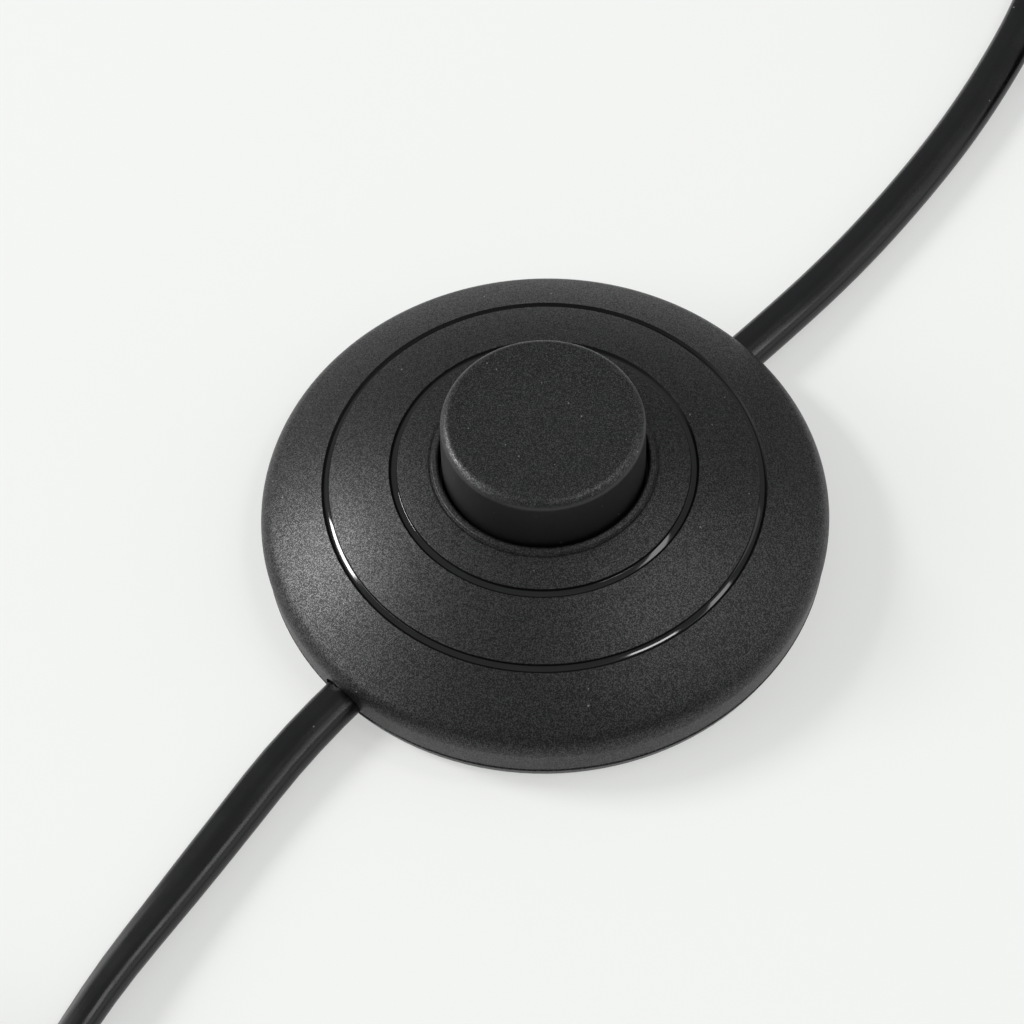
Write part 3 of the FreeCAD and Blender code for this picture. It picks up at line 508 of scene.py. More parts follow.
class Graph:
    """Adds nodes to one node tree and joins them."""

    def __init__(self, tree: bpy.types.NodeTree) -> None:
        """Keeps the tree that the nodes go into."""
        self.tree = tree

    def add(self, kind: str, sockets: dict[str | int, Any] | None = None,
            **settings: Any) -> bpy.types.Node:
        """Adds a node.

        Args:
            kind: Node type without its ShaderNode prefix.
            sockets: Input names or numbers to plain values or to output sockets that feed them.
            settings: Properties of the node.

        Returns:
            The node.
        """
        node = self.tree.nodes.new(f"ShaderNode{kind}")
        for name, value in settings.items():
            setattr(node, name, value)
        for name, value in (sockets or {}).items():
            self.feed(node.inputs[name], value)
        return node

    def feed(self, socket: bpy.types.NodeSocket, value: Any) -> None:
        """Gives an input a plain value, or links an output socket to it.

        Args:
            socket: The input.
            value: A plain value or an output socket.
        """
        if isinstance(value, bpy.types.NodeSocket):
            self.tree.links.new(value, socket)
        else:
            socket.default_value = value

    def math(self, operation: str, *values: Any) -> bpy.types.NodeSocket:
        """Output of a math node with the given inputs in order."""
        return self.add("Math", dict(enumerate(values)), operation=operation).outputs[0]

    def vector(self, operation: str, *values: Any) -> bpy.types.NodeSocket:
        """Output of a vector math node with the given inputs in order."""
        return self.add("VectorMath", dict(enumerate(values)), operation=operation).outputs[0]

    def span(self, value: Any, low: float, high: float, to_low: float = 0.0, to_high: float = 1.0) -> Any:
        """Output that runs smoothly from to_low to to_high as the value runs from low to high."""
        sockets = {"Value": value, "From Min": low, "From Max": high, "To Min": to_low, "To Max": to_high}
        return self.add("MapRange", sockets, interpolation_type="SMOOTHSTEP").outputs["Result"]

    def blend(self, share: Any, first: Any, second: Any) -> bpy.types.NodeSocket:
        """Colour that goes from the first to the second as the share goes from 0 to 1."""
        sockets = {MIX_SHARE: share, MIX_FIRST: first, MIX_SECOND: second}
        return self.add("Mix", sockets, data_type="RGBA").outputs[MIX_RESULT]


class Effect(Enum):
    """Surface effects that several finishes share, each a node group."""

    GRAIN = "spark_grain"
    TONE = "facet_tone"
    DUST = "dust_specks"
    DRAW = "drawn_lines"
    MOTTLE = "soft_mottle"


class Effects:
    """Builds each shared effect once, as a group with named sockets."""

    groups: dict[Effect, bpy.types.NodeTree] = {}
    facet_middle: Point3 = (0.5, 0.5, 0.5)
    speck_least: float = 0.03
    speck_spread: float = 0.07
    mottle_band: Point2 = (0.3, 0.7)

    @classmethod
    def get(cls, effect: Effect) -> bpy.types.NodeTree:
        """Group of an effect, built on its first use.

        Args:
            effect: The effect.

        Returns:
            Its group.
        """
        if effect not in cls.groups:
            makers = {Effect.GRAIN: cls.grain, Effect.TONE: cls.tone, Effect.DUST: cls.dust,
                      Effect.DRAW: cls.draw, Effect.MOTTLE: cls.mottle}
            cls.groups[effect] = makers[effect](effect.value)
        return cls.groups[effect]

    @staticmethod
    def start(name: str, inputs: Sequence[str], output: str,
              vectors: Sequence[str] = ("Place",)) -> tuple[Graph, dict[str, Any], bpy.types.Node]:
        """Opens a group with vector inputs, float inputs and one output.

        Args:
            name: Name of the group.
            inputs: Names of its float inputs.
            output: Name of its output, a vector if it is a normal and a float otherwise.
            vectors: Names of its vector inputs.

        Returns:
            The graph, the group's inputs by name, and its output node.
        """
        tree = bpy.data.node_groups.new(name, "ShaderNodeTree")
        for item in vectors:
            tree.interface.new_socket(item, in_out="INPUT", socket_type="NodeSocketVector")
        for item in inputs:
            tree.interface.new_socket(item, in_out="INPUT", socket_type="NodeSocketFloat")
        kind = "NodeSocketVector" if output == "Normal" else "NodeSocketFloat"
        tree.interface.new_socket(output, in_out="OUTPUT", socket_type=kind)
        source = tree.nodes.new("NodeGroupInput")
        given = {socket.name: socket for socket in source.outputs}
        return Graph(tree), given, tree.nodes.new("NodeGroupOutput")

    @classmethod
    def grain(cls, name: str) -> bpy.types.NodeTree:
        """Spark-eroded grain: tiny facets that each lean their own way, as a normal.

        Args:
            name: Name of the group.

        Returns:
            The group.
        """
        graph, given, out = cls.start(name, ["Scale", "Lean"], "Normal", ("Place", "Surface"))
        facets = graph.add("TexVoronoi", {"Vector": given["Place"], "Scale": given["Scale"]})
        centred = graph.vector("SUBTRACT", facets.outputs["Color"], cls.facet_middle)
        leaning = graph.add("VectorMath", {0: centred, "Scale": given["Lean"]}, operation="SCALE").outputs[0]
        facing = graph.vector("ADD", given["Surface"], leaning)
        graph.feed(out.inputs["Normal"], graph.vector("NORMALIZE", facing))
        return graph.tree

    @classmethod
    def tone(cls, name: str) -> bpy.types.NodeTree:
        """Share from 0 to 1 that each facet of the grain has of its own.

        Args:
            name: Name of the group.

        Returns:
            The group.
        """
        graph, given, out = cls.start(name, ["Scale"], "Share")
        facets = graph.add("TexVoronoi", {"Vector": given["Place"], "Scale": given["Scale"]})
        own = graph.add("SeparateColor", {"Color": facets.outputs["Color"]})
        graph.feed(out.inputs["Share"], own.outputs["Blue"])
        return graph.tree

    @classmethod
    def dust(cls, name: str) -> bpy.types.NodeTree:
        """Few fine specks of dust, as a mask.

        Args:
            name: Name of the group.

        Returns:
            The group.
        """
        graph, given, out = cls.start(name, ["Scale", "Amount"], "Mask")
        cells = graph.add("TexVoronoi", {"Vector": given["Place"], "Scale": given["Scale"]})
        lone = graph.add("SeparateColor", {"Color": cells.outputs["Color"]})
        chosen = graph.math("LESS_THAN", lone.outputs["Red"], given["Amount"])
        size = graph.math("MULTIPLY_ADD", lone.outputs["Green"], cls.speck_spread, cls.speck_least)
        dot = graph.math("LESS_THAN", cells.outputs["Distance"], size)
        graph.feed(out.inputs["Mask"], graph.math("MULTIPLY", chosen, dot))
        return graph.tree

    @classmethod
    def draw(cls, name: str) -> bpy.types.NodeTree:
        """Fine lines along a drawn or extruded piece, from coordinates stretched along it.

        Args:
            name: Name of the group.

        Returns:
            The group.
        """
        graph, given, out = cls.start(name, ["Scale"], "Height")
        noise = {"Vector": given["Place"], "Scale": given["Scale"], "Detail": 3.0, "Roughness": 0.55}
        graph.feed(out.inputs["Height"], graph.add("TexNoise", noise).outputs["Fac"])
        return graph.tree

    @classmethod
    def mottle(cls, name: str) -> bpy.types.NodeTree:
        """Slow change over a moulded surface, as a share from 0 to 1.

        Args:
            name: Name of the group.

        Returns:
            The group.
        """
        graph, given, out = cls.start(name, ["Scale"], "Share")
        noise = {"Vector": given["Place"], "Scale": given["Scale"], "Detail": 4.0, "Roughness": 0.6}
        slow = graph.add("TexNoise", noise).outputs["Fac"]
        graph.feed(out.inputs["Share"], graph.span(slow, *cls.mottle_band))
        return graph.tree


@dataclass(frozen=True)
class Finish:
    """A surface finish; its make method builds the material."""

    name: str
    colour: Colour

    def open(self) -> tuple[bpy.types.Material, Graph, bpy.types.Node]:
        """Starts a node material.

        Returns:
            The material, its graph and its Principled node.
        """
        material = bpy.data.materials.new(self.name)
        material.use_nodes = True
        material.diffuse_color = self.colour
        return material, Graph(material.node_tree), material.node_tree.nodes["Principled BSDF"]

    def effect(self, graph: Graph, effect: Effect, **sockets: Any) -> bpy.types.NodeSocket:
        """Places a shared effect.

        Args:
            graph: The material's graph.
            effect: The effect.
            sockets: Values for the group's inputs.

        Returns:
            The group's output.
        """
        node = graph.add("Group", node_tree=Effects.get(effect))
        for name, value in sockets.items():
            graph.feed(node.inputs[name], value)
        return node.outputs[0]

    def place(self, graph: Graph) -> bpy.types.NodeSocket:
        """Object coordinates, in metres."""
        return graph.add("TexCoord").outputs["Object"]

    def bump(self, graph: Graph, height: bpy.types.NodeSocket, depth: float) -> bpy.types.NodeSocket:
        """Normal of a surface that a height raises by up to a depth."""
        sockets = {"Height": height, "Distance": depth, "Strength": BUMP_STRENGTH}
        return graph.add("Bump", sockets).outputs["Normal"]

    def shade(self, share: float) -> Colour:
        """The finish's colour, darker or lighter by a share."""
        return (*(part * share for part in self.colour[:3]), 1.0)

    def make(self) -> bpy.types.Material:
        """Builds the material."""
        raise NotImplementedError


@dataclass(frozen=True)
class GrainedPlastic(Finish):
    """Moulded plastic with a spark-eroded grain of tiny facets, some of which shine more than others.

    The grain may stop below a height, where the mould is smooth.
    """

    roughness: float = 0.42
    shine_roughness: float = 0.43
    shine_ior: float = 1.75
    specular: float = 0.08
    sparkle: float = 1.0
    dull_share: float = 0.22
    dull_below: float = 0.35
    facet_shade: float = 0.5
    grain_size: float = 0.095 * MM
    lean: float = 0.5
    mottle_scale: float = 60.0
    mottle_depth: float = 0.05
    dust: float = 0.09
    dust_colour: Colour = (0.2, 0.2, 0.19, 1.0)
    smooth_below: float | None = None
    smooth_blend: float = 0.3 * MM
    smooth_shine: float = 0.7

    def make(self) -> bpy.types.Material:
        """Builds the grain, slow mottling and dust.

        Returns:
            The material.
        """
        material, graph, shader = self.open()
        place = self.place(graph)
        surface = graph.add("NewGeometry").outputs["Normal"]
        tone = self.effect(graph, Effect.TONE, Place=place, Scale=1 / self.grain_size)
        mottle = self.effect(graph, Effect.MOTTLE, Place=place, Scale=self.mottle_scale)
        specks = self.effect(graph, Effect.DUST, Place=place, Scale=DUST_SCALE, Amount=self.dust)
        shine = graph.span(tone, self.dull_below, 1.0, self.dull_share * self.sparkle, self.sparkle)
        lean = self.lean
        if self.smooth_below is not None:
            z = graph.add("SeparateXYZ", {"Vector": place}).outputs["Z"]
            top = graph.span(z, self.smooth_below - self.smooth_blend, self.smooth_below + self.smooth_blend)
            lean = graph.math("MULTIPLY", top, self.lean)
            shine = graph.add("Mix", {"Factor": top, "A": self.smooth_shine, "B": shine}).outputs["Result"]
        grain = self.effect(graph, Effect.GRAIN, Place=place, Surface=surface, Scale=1 / self.grain_size,
                            Lean=lean)
        facets = graph.blend(tone, self.shade(self.facet_shade), self.colour)
        graph.feed(shader.inputs["Base Color"], graph.blend(specks, facets, self.dust_colour))
        rough = graph.math("MULTIPLY_ADD", mottle, self.mottle_depth, self.roughness)
        graph.feed(shader.inputs["Roughness"], rough)
        graph.feed(shader.inputs["Coat Weight"], shine)
        graph.feed(shader.inputs["Normal"], grain)
        shader.inputs["Coat Roughness"].default_value = self.shine_roughness
        shader.inputs["Coat IOR"].default_value = self.shine_ior
        shader.inputs["Specular IOR Level"].default_value = self.specular
        return material


@dataclass(frozen=True)
class PolishedPlastic(Finish):
    """Mould-polished plastic, as in the ring grooves."""

    roughness: float = 0.1
    specular: float = 0.5
    mark_scale: float = 250.0
    mark_shade: float = 1.3
    mark_depth: float = 0.03

    def make(self) -> bpy.types.Material:
        """Builds a clean gloss that is broken a little by handling marks.

        Returns:
            The material.
        """
        material, graph, shader = self.open()
        marks = self.effect(graph, Effect.MOTTLE, Place=self.place(graph), Scale=self.mark_scale)
        marked = graph.blend(marks, self.colour, self.shade(self.mark_shade))
        graph.feed(shader.inputs["Base Color"], marked)
        rough = graph.span(marks, 0.0, 1.0, self.roughness, self.roughness + self.mark_depth)
        graph.feed(shader.inputs["Roughness"], rough)
        shader.inputs["Specular IOR Level"].default_value = self.specular
        return material


@dataclass(frozen=True)
class CordSheath(Finish):
    """Extruded flat sheath; its lines follow the cord by the piece's own attributes."""

    roughness: float = 0.23
    specular: float = 0.46
    line_stretch: float = 12.0
    line_scale: float = 30.0
    line_shade: float = 0.85
    line_depth: float = 0.003 * MM
    wave_scale: float = 160.0
    wave_depth: float = 0.08
    dust: float = 0.06
    dust_colour: Colour = (0.16, 0.16, 0.16, 1.0)

    def make(self) -> bpy.types.Material:
        """Builds faint lines along the sheath, slow waves of gloss and dust.

        Returns:
            The material.
        """
        material, graph, shader = self.open()
        along = graph.add("Attribute", attribute_name="along").outputs["Fac"]
        around = graph.add("Attribute", attribute_name="around").outputs["Fac"]
        slowed = graph.math("MULTIPLY", along, self.line_stretch)
        stretched = graph.add("CombineXYZ", {"X": slowed, "Y": around}).outputs["Vector"]
        lines = self.effect(graph, Effect.DRAW, Place=stretched, Scale=self.line_scale)
        place = self.place(graph)
        waves = self.effect(graph, Effect.MOTTLE, Place=place, Scale=self.wave_scale)
        specks = self.effect(graph, Effect.DUST, Place=place, Scale=DUST_SCALE, Amount=self.dust)
        base = graph.blend(lines, self.shade(self.line_shade), self.colour)
        graph.feed(shader.inputs["Base Color"], graph.blend(specks, base, self.dust_colour))
        rough = graph.span(waves, 0.0, 1.0, self.roughness, self.roughness + self.wave_depth)
        graph.feed(shader.inputs["Roughness"], rough)
        graph.feed(shader.inputs["Normal"], self.bump(graph, lines, self.line_depth))
        shader.inputs["Specular IOR Level"].default_value = self.specular
        return material


@dataclass(frozen=True)
class Metal(Finish):
    """Plated, stamped or drawn metal with fine brushing."""

    roughness: float = 0.3
    brushing: float = 2500.0
    brush_stretch: Point3 = (0.08, 1.0, 1.0)
    brush_spread: float = 0.15
    brush_least: float = 0.07
    brush_depth: float = 0.004 * MM
    dull_scale: float = 300.0
    dull_shade: float = 0.82

    def make(self) -> bpy.types.Material:
        """Builds brushed metal that dulls in places.

        Returns:
            The material.
        """
        material, graph, shader = self.open()
        place = self.place(graph)
        stretched = graph.add("Mapping", {"Vector": place, "Scale": self.brush_stretch}).outputs["Vector"]
        lines = self.effect(graph, Effect.DRAW, Place=stretched, Scale=self.brushing)
        dull = self.effect(graph, Effect.MOTTLE, Place=place, Scale=self.dull_scale)
        toned = graph.blend(dull, self.shade(self.dull_shade), self.colour)
        graph.feed(shader.inputs["Base Color"], toned)
        rough = graph.math("MULTIPLY_ADD", lines, self.brush_spread, self.roughness - self.brush_least)
        graph.feed(shader.inputs["Roughness"], rough)
        shader.inputs["Metallic"].default_value = 1.0
        graph.feed(shader.inputs["Normal"], self.bump(graph, lines, self.brush_depth))
        return material


BLACK = (0.0048, 0.0048, 0.0046, 1.0)
FINISHES = {
    "cover": GrainedPlastic("cover_grain", BLACK),
    "base": GrainedPlastic("base_grain", BLACK, shine_roughness=0.42),
    "button": GrainedPlastic("button_grain", BLACK, shine_ior=1.9, dust=0.3, smooth_below=22.7 * MM,
                             smooth_shine=0.48),
    "inner_plastic": GrainedPlastic("inner_plastic", (0.72, 0.71, 0.66, 1.0), lean=0.1, specular=0.4,
                                    sparkle=0.3, dust=0.0),
    "sheath": CordSheath("cord_sheath", (0.0022, 0.0022, 0.0023, 1.0)),
    "live_core": PolishedPlastic("live_core_insulation", (0.12, 0.035, 0.012, 1.0), roughness=0.3),
    "neutral_core": PolishedPlastic("neutral_core_insulation", (0.012, 0.06, 0.32, 1.0), roughness=0.3),
    "plug": GrainedPlastic("plug_grain", (0.006, 0.006, 0.0062, 1.0), grain_size=0.16 * MM, lean=0.2),
    "coil_tie": GrainedPlastic("tie_grain", (0.012, 0.012, 0.012, 1.0), sparkle=0.6, lean=0.1),
    "brass": Metal("stamped_brass", (0.72, 0.52, 0.22, 1.0), roughness=0.28),
    "copper_wire": Metal("bare_copper", (0.8, 0.38, 0.22, 1.0), roughness=0.32),
    "steel": Metal("plated_steel", (0.6, 0.6, 0.61, 1.0), roughness=0.3),
    "plated_pin": Metal("plated_pin", (0.72, 0.71, 0.68, 1.0), roughness=0.22),
}
GROOVE_GLOSS = PolishedPlastic("groove_gloss", (0.006, 0.006, 0.006, 1.0), roughness=0.06)
# The grooves' steep walls get a darker, less reflective finish than the grain round them: painted shade in
# the grooves.
GROOVE_WALL_SHADE = PolishedPlastic("groove_wall_painted_shade", (0.004, 0.004, 0.004, 1.0), roughness=0.45, specular=0.12)


class Paint:
    """Keeps one material for each of the record's slots and gives it to pieces."""

    made: dict[str, bpy.types.Material] = {}

    @classmethod
    def material(cls, slot: str) -> bpy.types.Material:
        """Material of a slot, built on its first use.

        Args:
            slot: The record's slot.

        Returns:
            Its material.
        """
        if slot not in cls.made:
            cls.made[slot] = FINISHES[slot].make()
        return cls.made[slot]

    @classmethod
    def coat(cls, piece: Piece, slot: str) -> Piece:
        """Gives a whole piece the material of a slot.

        Args:
            piece: The piece.
            slot: The record's slot.

        Returns:
            The same piece.
        """
        piece.data.materials.clear()
        piece.data.materials.append(cls.material(slot))
        return piece

    @classmethod
    def coat_nodes(cls) -> None:
        """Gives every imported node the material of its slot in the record."""
        for part in frame["record"]["subparts"]:
            cls.coat(frame["nodes"][part["node"]], part["material_slot"])


def finished(piece: Piece, body: str, slot: str, *nodes: str) -> Piece:
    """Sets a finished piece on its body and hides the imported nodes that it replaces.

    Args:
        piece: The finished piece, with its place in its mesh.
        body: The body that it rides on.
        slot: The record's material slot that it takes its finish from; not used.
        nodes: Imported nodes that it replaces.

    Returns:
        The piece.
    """
    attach(piece, body)
    if nodes:
        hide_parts(*nodes)
    log.info("%s: %d faces, rides on %s", piece.name, len(piece.data.polygons), body)
    return piece


@dataclass(frozen=True)
class Dome:
    """The cover's dome and the heights that other pieces take from it."""

    radius: float = 56.7 * MM
    top: float = 16.8 * MM

    def height(self, distance: float) -> float:
        """Height of the dome at a distance from the axis."""
        return self.top - self.radius + math.sqrt(self.radius ** 2 - distance ** 2)

    def stretch(self, inner: float, outer: float, step: float) -> list[Point2]:
        """Points on the dome between two distances from the axis, ends included.

        Args:
            inner: The nearer distance.
            outer: The farther distance.
            step: About how far apart the points lie.

        Returns:
            Points of (radius, height).
        """
        count = max(2, round((outer - inner) / step))
        distances = [inner + (outer - inner) * n / count for n in range(count + 1)]
        return [(distance, self.height(distance)) for distance in distances]

    def groove(self, distance: float, section: Sequence[Point3]) -> list[Point2]:
        """Groove square to the dome, from its inner to its outer edge.

        Args:
            distance: Middle of the groove from the axis.
            section: Corners of (across, up, radius), measured from the dome's surface.

        Returns:
            Points of (radius, height).
        """
        lean = math.asin(distance / self.radius)
        points = []
        for across, up in rounded(section):
            points.append((distance + across * math.cos(lean) + up * math.sin(lean),
                           self.height(distance) - across * math.sin(lean) + up * math.cos(lean)))
        return points


@dataclass
class UpperCover:
    """Domed cover with two polished ring grooves and a lip round the button hole."""

    dome: Dome
    housing_radius: float = 32.5 * MM
    rim_radius: float = 3.2 * MM
    seam_radius: float = 32.2 * MM
    seam_height: float = 1.6 * MM
    edge: float = 0.3 * MM
    wall: float = 2.0 * MM
    hole_radius: float = 11.8 * MM
    collar_radius: float = 13.9 * MM
    stop_height: float = 12.5 * MM
    lip_width: float = 0.95 * MM
    lip_rise: float = 0.22 * MM
    lip_edge: float = 0.3 * MM
    groove_places: tuple[float, float] = (17.0 * MM, 24.8 * MM)
    groove_half: float = 0.5 * MM
    groove_floor: float = 0.34 * MM
    groove_depth: float = 0.34 * MM
    groove_edge: float = 0.04 * MM
    groove_corner: float = 0.14 * MM
    groove_skin: float = 0.017 * MM
    floor_share: float = 0.95
    lip_line: float = 0.3 * MM
    lip_sink: float = 0.1 * MM
    inside_break: float = 24.0 * MM
    notch_half_width: float = 2.53 * MM
    notch_top: float = 4.14 * MM
    notch_edge: float = 1.5 * MM
    notch_past: float = 1.1
    steps: int = 224
    dome_step: float = 0.9 * MM

    def groove_section(self) -> list[Point3]:
        """Section of a ring groove: crisp edges, steep walls and a flat polished floor.

        Returns:
            Corners of (across, up, radius).
        """
        half, floor, depth = self.groove_half, self.groove_floor, self.groove_depth
        inner = [(-half - 2 * self.groove_edge, 0.0, 0.0), (-half, 0.0, self.groove_edge),
                 (-floor, -depth, self.groove_corner)]
        return inner + [(-across, up, radius) for across, up, radius in reversed(inner)]

    def profile(self) -> list[Point2]:
        """Section of the cover, from the foot of the hole over the dome and back inside.

        Returns:
            Points of (radius, height).
        """
        dome = self.dome
        rim_centre = self.housing_radius - self.rim_radius
        rise = math.sqrt((dome.radius - self.rim_radius) ** 2 - rim_centre ** 2)
        widest = dome.top - dome.radius + rise
        lip_outer = self.hole_radius + self.lip_width
        inner = lip_outer + self.lip_line
        crest = lip_outer - self.lip_line / 2
        points = rounded([(self.hole_radius, self.stop_height, 0.0),
                          (self.hole_radius, dome.height(self.hole_radius) + self.lip_rise, self.lip_edge),
                          (crest, dome.height(lip_outer) + self.lip_rise, self.lip_edge / 2),
                          (lip_outer, dome.height(lip_outer) - self.lip_sink, self.lip_sink / 2),
                          (inner, dome.height(inner), self.lip_line),
                          (inner + self.lip_line, dome.height(inner + self.lip_line), 0.0)], count=8)
        inner = points.pop()[0]
        for place in self.groove_places:
            groove = dome.groove(place, self.groove_section())
            points += dome.stretch(inner, groove[0][0], self.dome_step)[:-1]
            points += groove
            inner = groove[-1][0]
            points.pop()
        shoulder = rim_centre * dome.radius / (dome.radius - self.rim_radius)
        points += dome.stretch(inner, shoulder, self.dome_step)
        lean = math.degrees(math.atan2(rise, rim_centre))
        points += arc((rim_centre, widest), self.rim_radius, lean, 0, count=16)[1:]
        seam = (self.seam_radius - self.edge, self.seam_height + self.edge)
        points += arc(seam, self.edge, 0, -90, count=6)
        inside = self.housing_radius - self.wall
        points += [(inside, self.seam_height), (inside, widest)]
        points += [(r, dome.height(r) - self.wall) for r in (self.inside_break, self.collar_radius)]
        points.append((self.collar_radius, self.stop_height))
        return points

    def build(self) -> Piece:
        """Turns the shell and cuts the two cord notches into it.

        Returns:
            The shell.
        """
        cover = Bench.turned("cover_shell", self.profile(), self.steps)
        for side in Side:
            ends = (self.housing_radius - 2 * self.wall, self.notch_past * self.housing_radius)
            reach = sorted(side.value * end for end in ends)
            low = (reach[0], -self.notch_half_width, -self.seam_height)
            high = (reach[1], self.notch_half_width, self.notch_top)
            Bench.carve(cover, Bench.rounded_block("cord_notch", low, high, self.notch_edge))
        return Bench.smooth(cover)

    def dress(self, cover: Piece) -> Piece:
        """Gives the shell its grain, and the grooves polished floors and dull walls made darker as painted
        shade.

        Args:
            cover: The shell.

        Returns:
            The same shell.
        """
        Paint.coat(cover, "cover")
        # Material 1 darkens the groove walls as painted shade; material 2 polishes the groove floors.
        cover.data.materials.append(GROOVE_WALL_SHADE.make())
        cover.data.materials.append(GROOVE_GLOSS.make())
        wall, gloss = 1, 2
        middle = Vector((0, 0, self.dome.top - self.dome.radius))
        for face in cover.data.polygons:
            distance = math.hypot(face.center.x, face.center.y)
            near = any(abs(distance - place) < self.groove_half for place in self.groove_places)
            depth = self.dome.radius - (face.center - middle).length
            floor = face.normal.dot((face.center - middle).normalized()) > self.floor_share
            if near and self.groove_skin < depth < self.wall / 2:
                face.material_index = gloss if floor and depth > self.groove_depth / 2 else wall
        return finished(cover, HOUSING, "cover", "upper_cover")


@dataclass
class PushButton:
    """Drafted cup with a soft top edge, a stop flange and a stem."""

    foot_radius: float = 11.5 * MM
    draft: float = 0.05 * MM
    edge: float = 1.15 * MM
    wall: float = 1.4 * MM
    top: float = 23.2 * MM
    crown: float = 0.03 * MM
    ceiling: float = 21.0 * MM
    flange_radius: float = 13.4 * MM
    flange_bottom: float = 10.8 * MM
    flange_top: float = 12.2 * MM
    stem_outer: float = 5.2 * MM
    stem_inner: float = 3.9 * MM
    stem_bottom: float = 13.2 * MM
    steps: int = 160
    crown_steps: int = 6

    def profile(self) -> list[Point2]:
        """Section of the button, from the middle of its top round to its stem.

        Returns:
            Points of (radius, height).
        """
        top_radius = self.foot_radius - self.draft
        flat = top_radius - self.edge
        points = [(0.0, self.top + self.crown)]
        for step in range(1, self.crown_steps):
            share = step / self.crown_steps
            points.append((flat * share, self.top + self.crown * (1 - share ** 2)))
        points += arc((flat, self.top - self.edge), self.edge, 90, 0, count=14)
        points += [(self.foot_radius, self.flange_top), (self.flange_radius, self.flange_top)]
        inside = self.foot_radius - self.wall
        points += [(self.flange_radius, self.flange_bottom), (inside, self.flange_bottom)]
        points += [(inside, self.ceiling), (self.stem_outer, self.ceiling)]
        points.append((self.stem_outer, self.stem_bottom))
        points += [(self.stem_inner, self.stem_bottom), (self.stem_inner, self.ceiling), (0.0, self.ceiling)]
        return points

    def build(self) -> Piece:
        """Turns the button."""
        return Bench.smooth(Bench.turned("button_cap", self.profile(), self.steps))

    def dress(self, button: Piece) -> Piece:
        """Gives the button its grained top and smooth side."""
        return finished(Paint.coat(button, "button"), BUTTON, "button", "push_button")


@dataclass
class ReturnSpring:
    """Round wire coil under the button."""

    wire_radius: float = 0.45 * MM
    wire_sides: int = 12
    radius: float = 5.95 * MM
    turns: float = 6.0
    steps_a_turn: int = 24
    bottom: float = 8.45 * MM
    top: float = 20.95 * MM
    travel: float = 4.5 * MM

    def build(self) -> Piece:
        """Winds a ring of wire up into a coil.

        Returns:
            The spring.
        """
        bpy.ops.object.select_all(action="DESELECT")
        start = (self.radius, 0, self.bottom + self.wire_radius)
        bpy.ops.mesh.primitive_circle_add(vertices=self.wire_sides, radius=self.wire_radius, location=start,
                                          rotation=(math.pi / 2, 0, 0))
        spring = Bench.settle(Bench.added("button_spring"))
        height = self.top - self.bottom - 2 * self.wire_radius
        steps = round(self.steps_a_turn * self.turns)
        Bench.modify(spring, "SCREW", angle=2 * math.pi * self.turns, screw_offset=height, steps=steps,
                     render_steps=steps, use_merge_vertices=False)
        with Bench.editing(spring):
            bpy.ops.mesh.select_all(action="DESELECT")
            bpy.ops.mesh.select_mode(type="EDGE")
            bpy.ops.mesh.select_non_manifold()
            bpy.ops.mesh.edge_face_add()
            Bench.face_outwards()
        return Bench.smooth(spring, degrees=50)

    def dress(self, spring: Piece) -> Piece:
        """Gives the spring its plating and a mesh of its own.

        Args:
            spring: The spring.

        Returns:
            The same spring.
        """
        finished(Paint.coat(spring, "steel"), HOUSING, "steel", "return_spring")
        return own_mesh(spring)


@dataclass
class TiedCoil:
    """Turns of flat cord that stand on edge, wound clockwise from the outer lower turn.

    The lower layer is wound inwards and the upper layer outwards, and each turn steps over to the next place
    within a short stretch.
    """

    centre: Point2
    middle_radius: float
    columns: int
    start_angle: float
    turns: float
    climb_share: float
    lift: float = 0.9 * MM
    pitch_across: float = 3.2 * MM
    pitch_up: float = 5.2 * MM
    points_a_turn: int = 16
    step_over: float = 0.15

    def turn_radius(self, column: float) -> float:
        """Radius of a turn, counted from the outermost one."""
        return self.middle_radius + self.pitch_across * ((self.columns - 1) / 2 - column)

    def place(self, turn: float) -> Point3:
        """Point of the winding after a number of turns.

        Args:
            turn: The number of turns.

        Returns:
            The point.
        """
        last = self.columns - 1
        climbed = last + self.climb_share
        column = self.stepped(turn) if turn < climbed else last - self.stepped(turn - climbed)
        layer = eased((turn - last) / self.climb_share)
        radius = self.turn_radius(min(max(column, 0), last))
        angle = math.radians(self.start_angle) - 2 * math.pi * turn
        height = self.lift + self.pitch_up * (layer + 0.5)
        x, y = self.centre
        return (x + radius * math.cos(angle), y + radius * math.sin(angle), height)

    def stepped(self, turn: float) -> float:
        """Number of places stepped over after a number of turns."""
        whole = math.floor(turn)
        return whole + eased((turn - whole - 1 + self.step_over) / self.step_over)

    def winding(self) -> list[Point3]:
        """Points of all the turns, in order."""
        count = round(self.turns * self.points_a_turn)
        return [self.place(self.turns * n / count) for n in range(count + 1)]


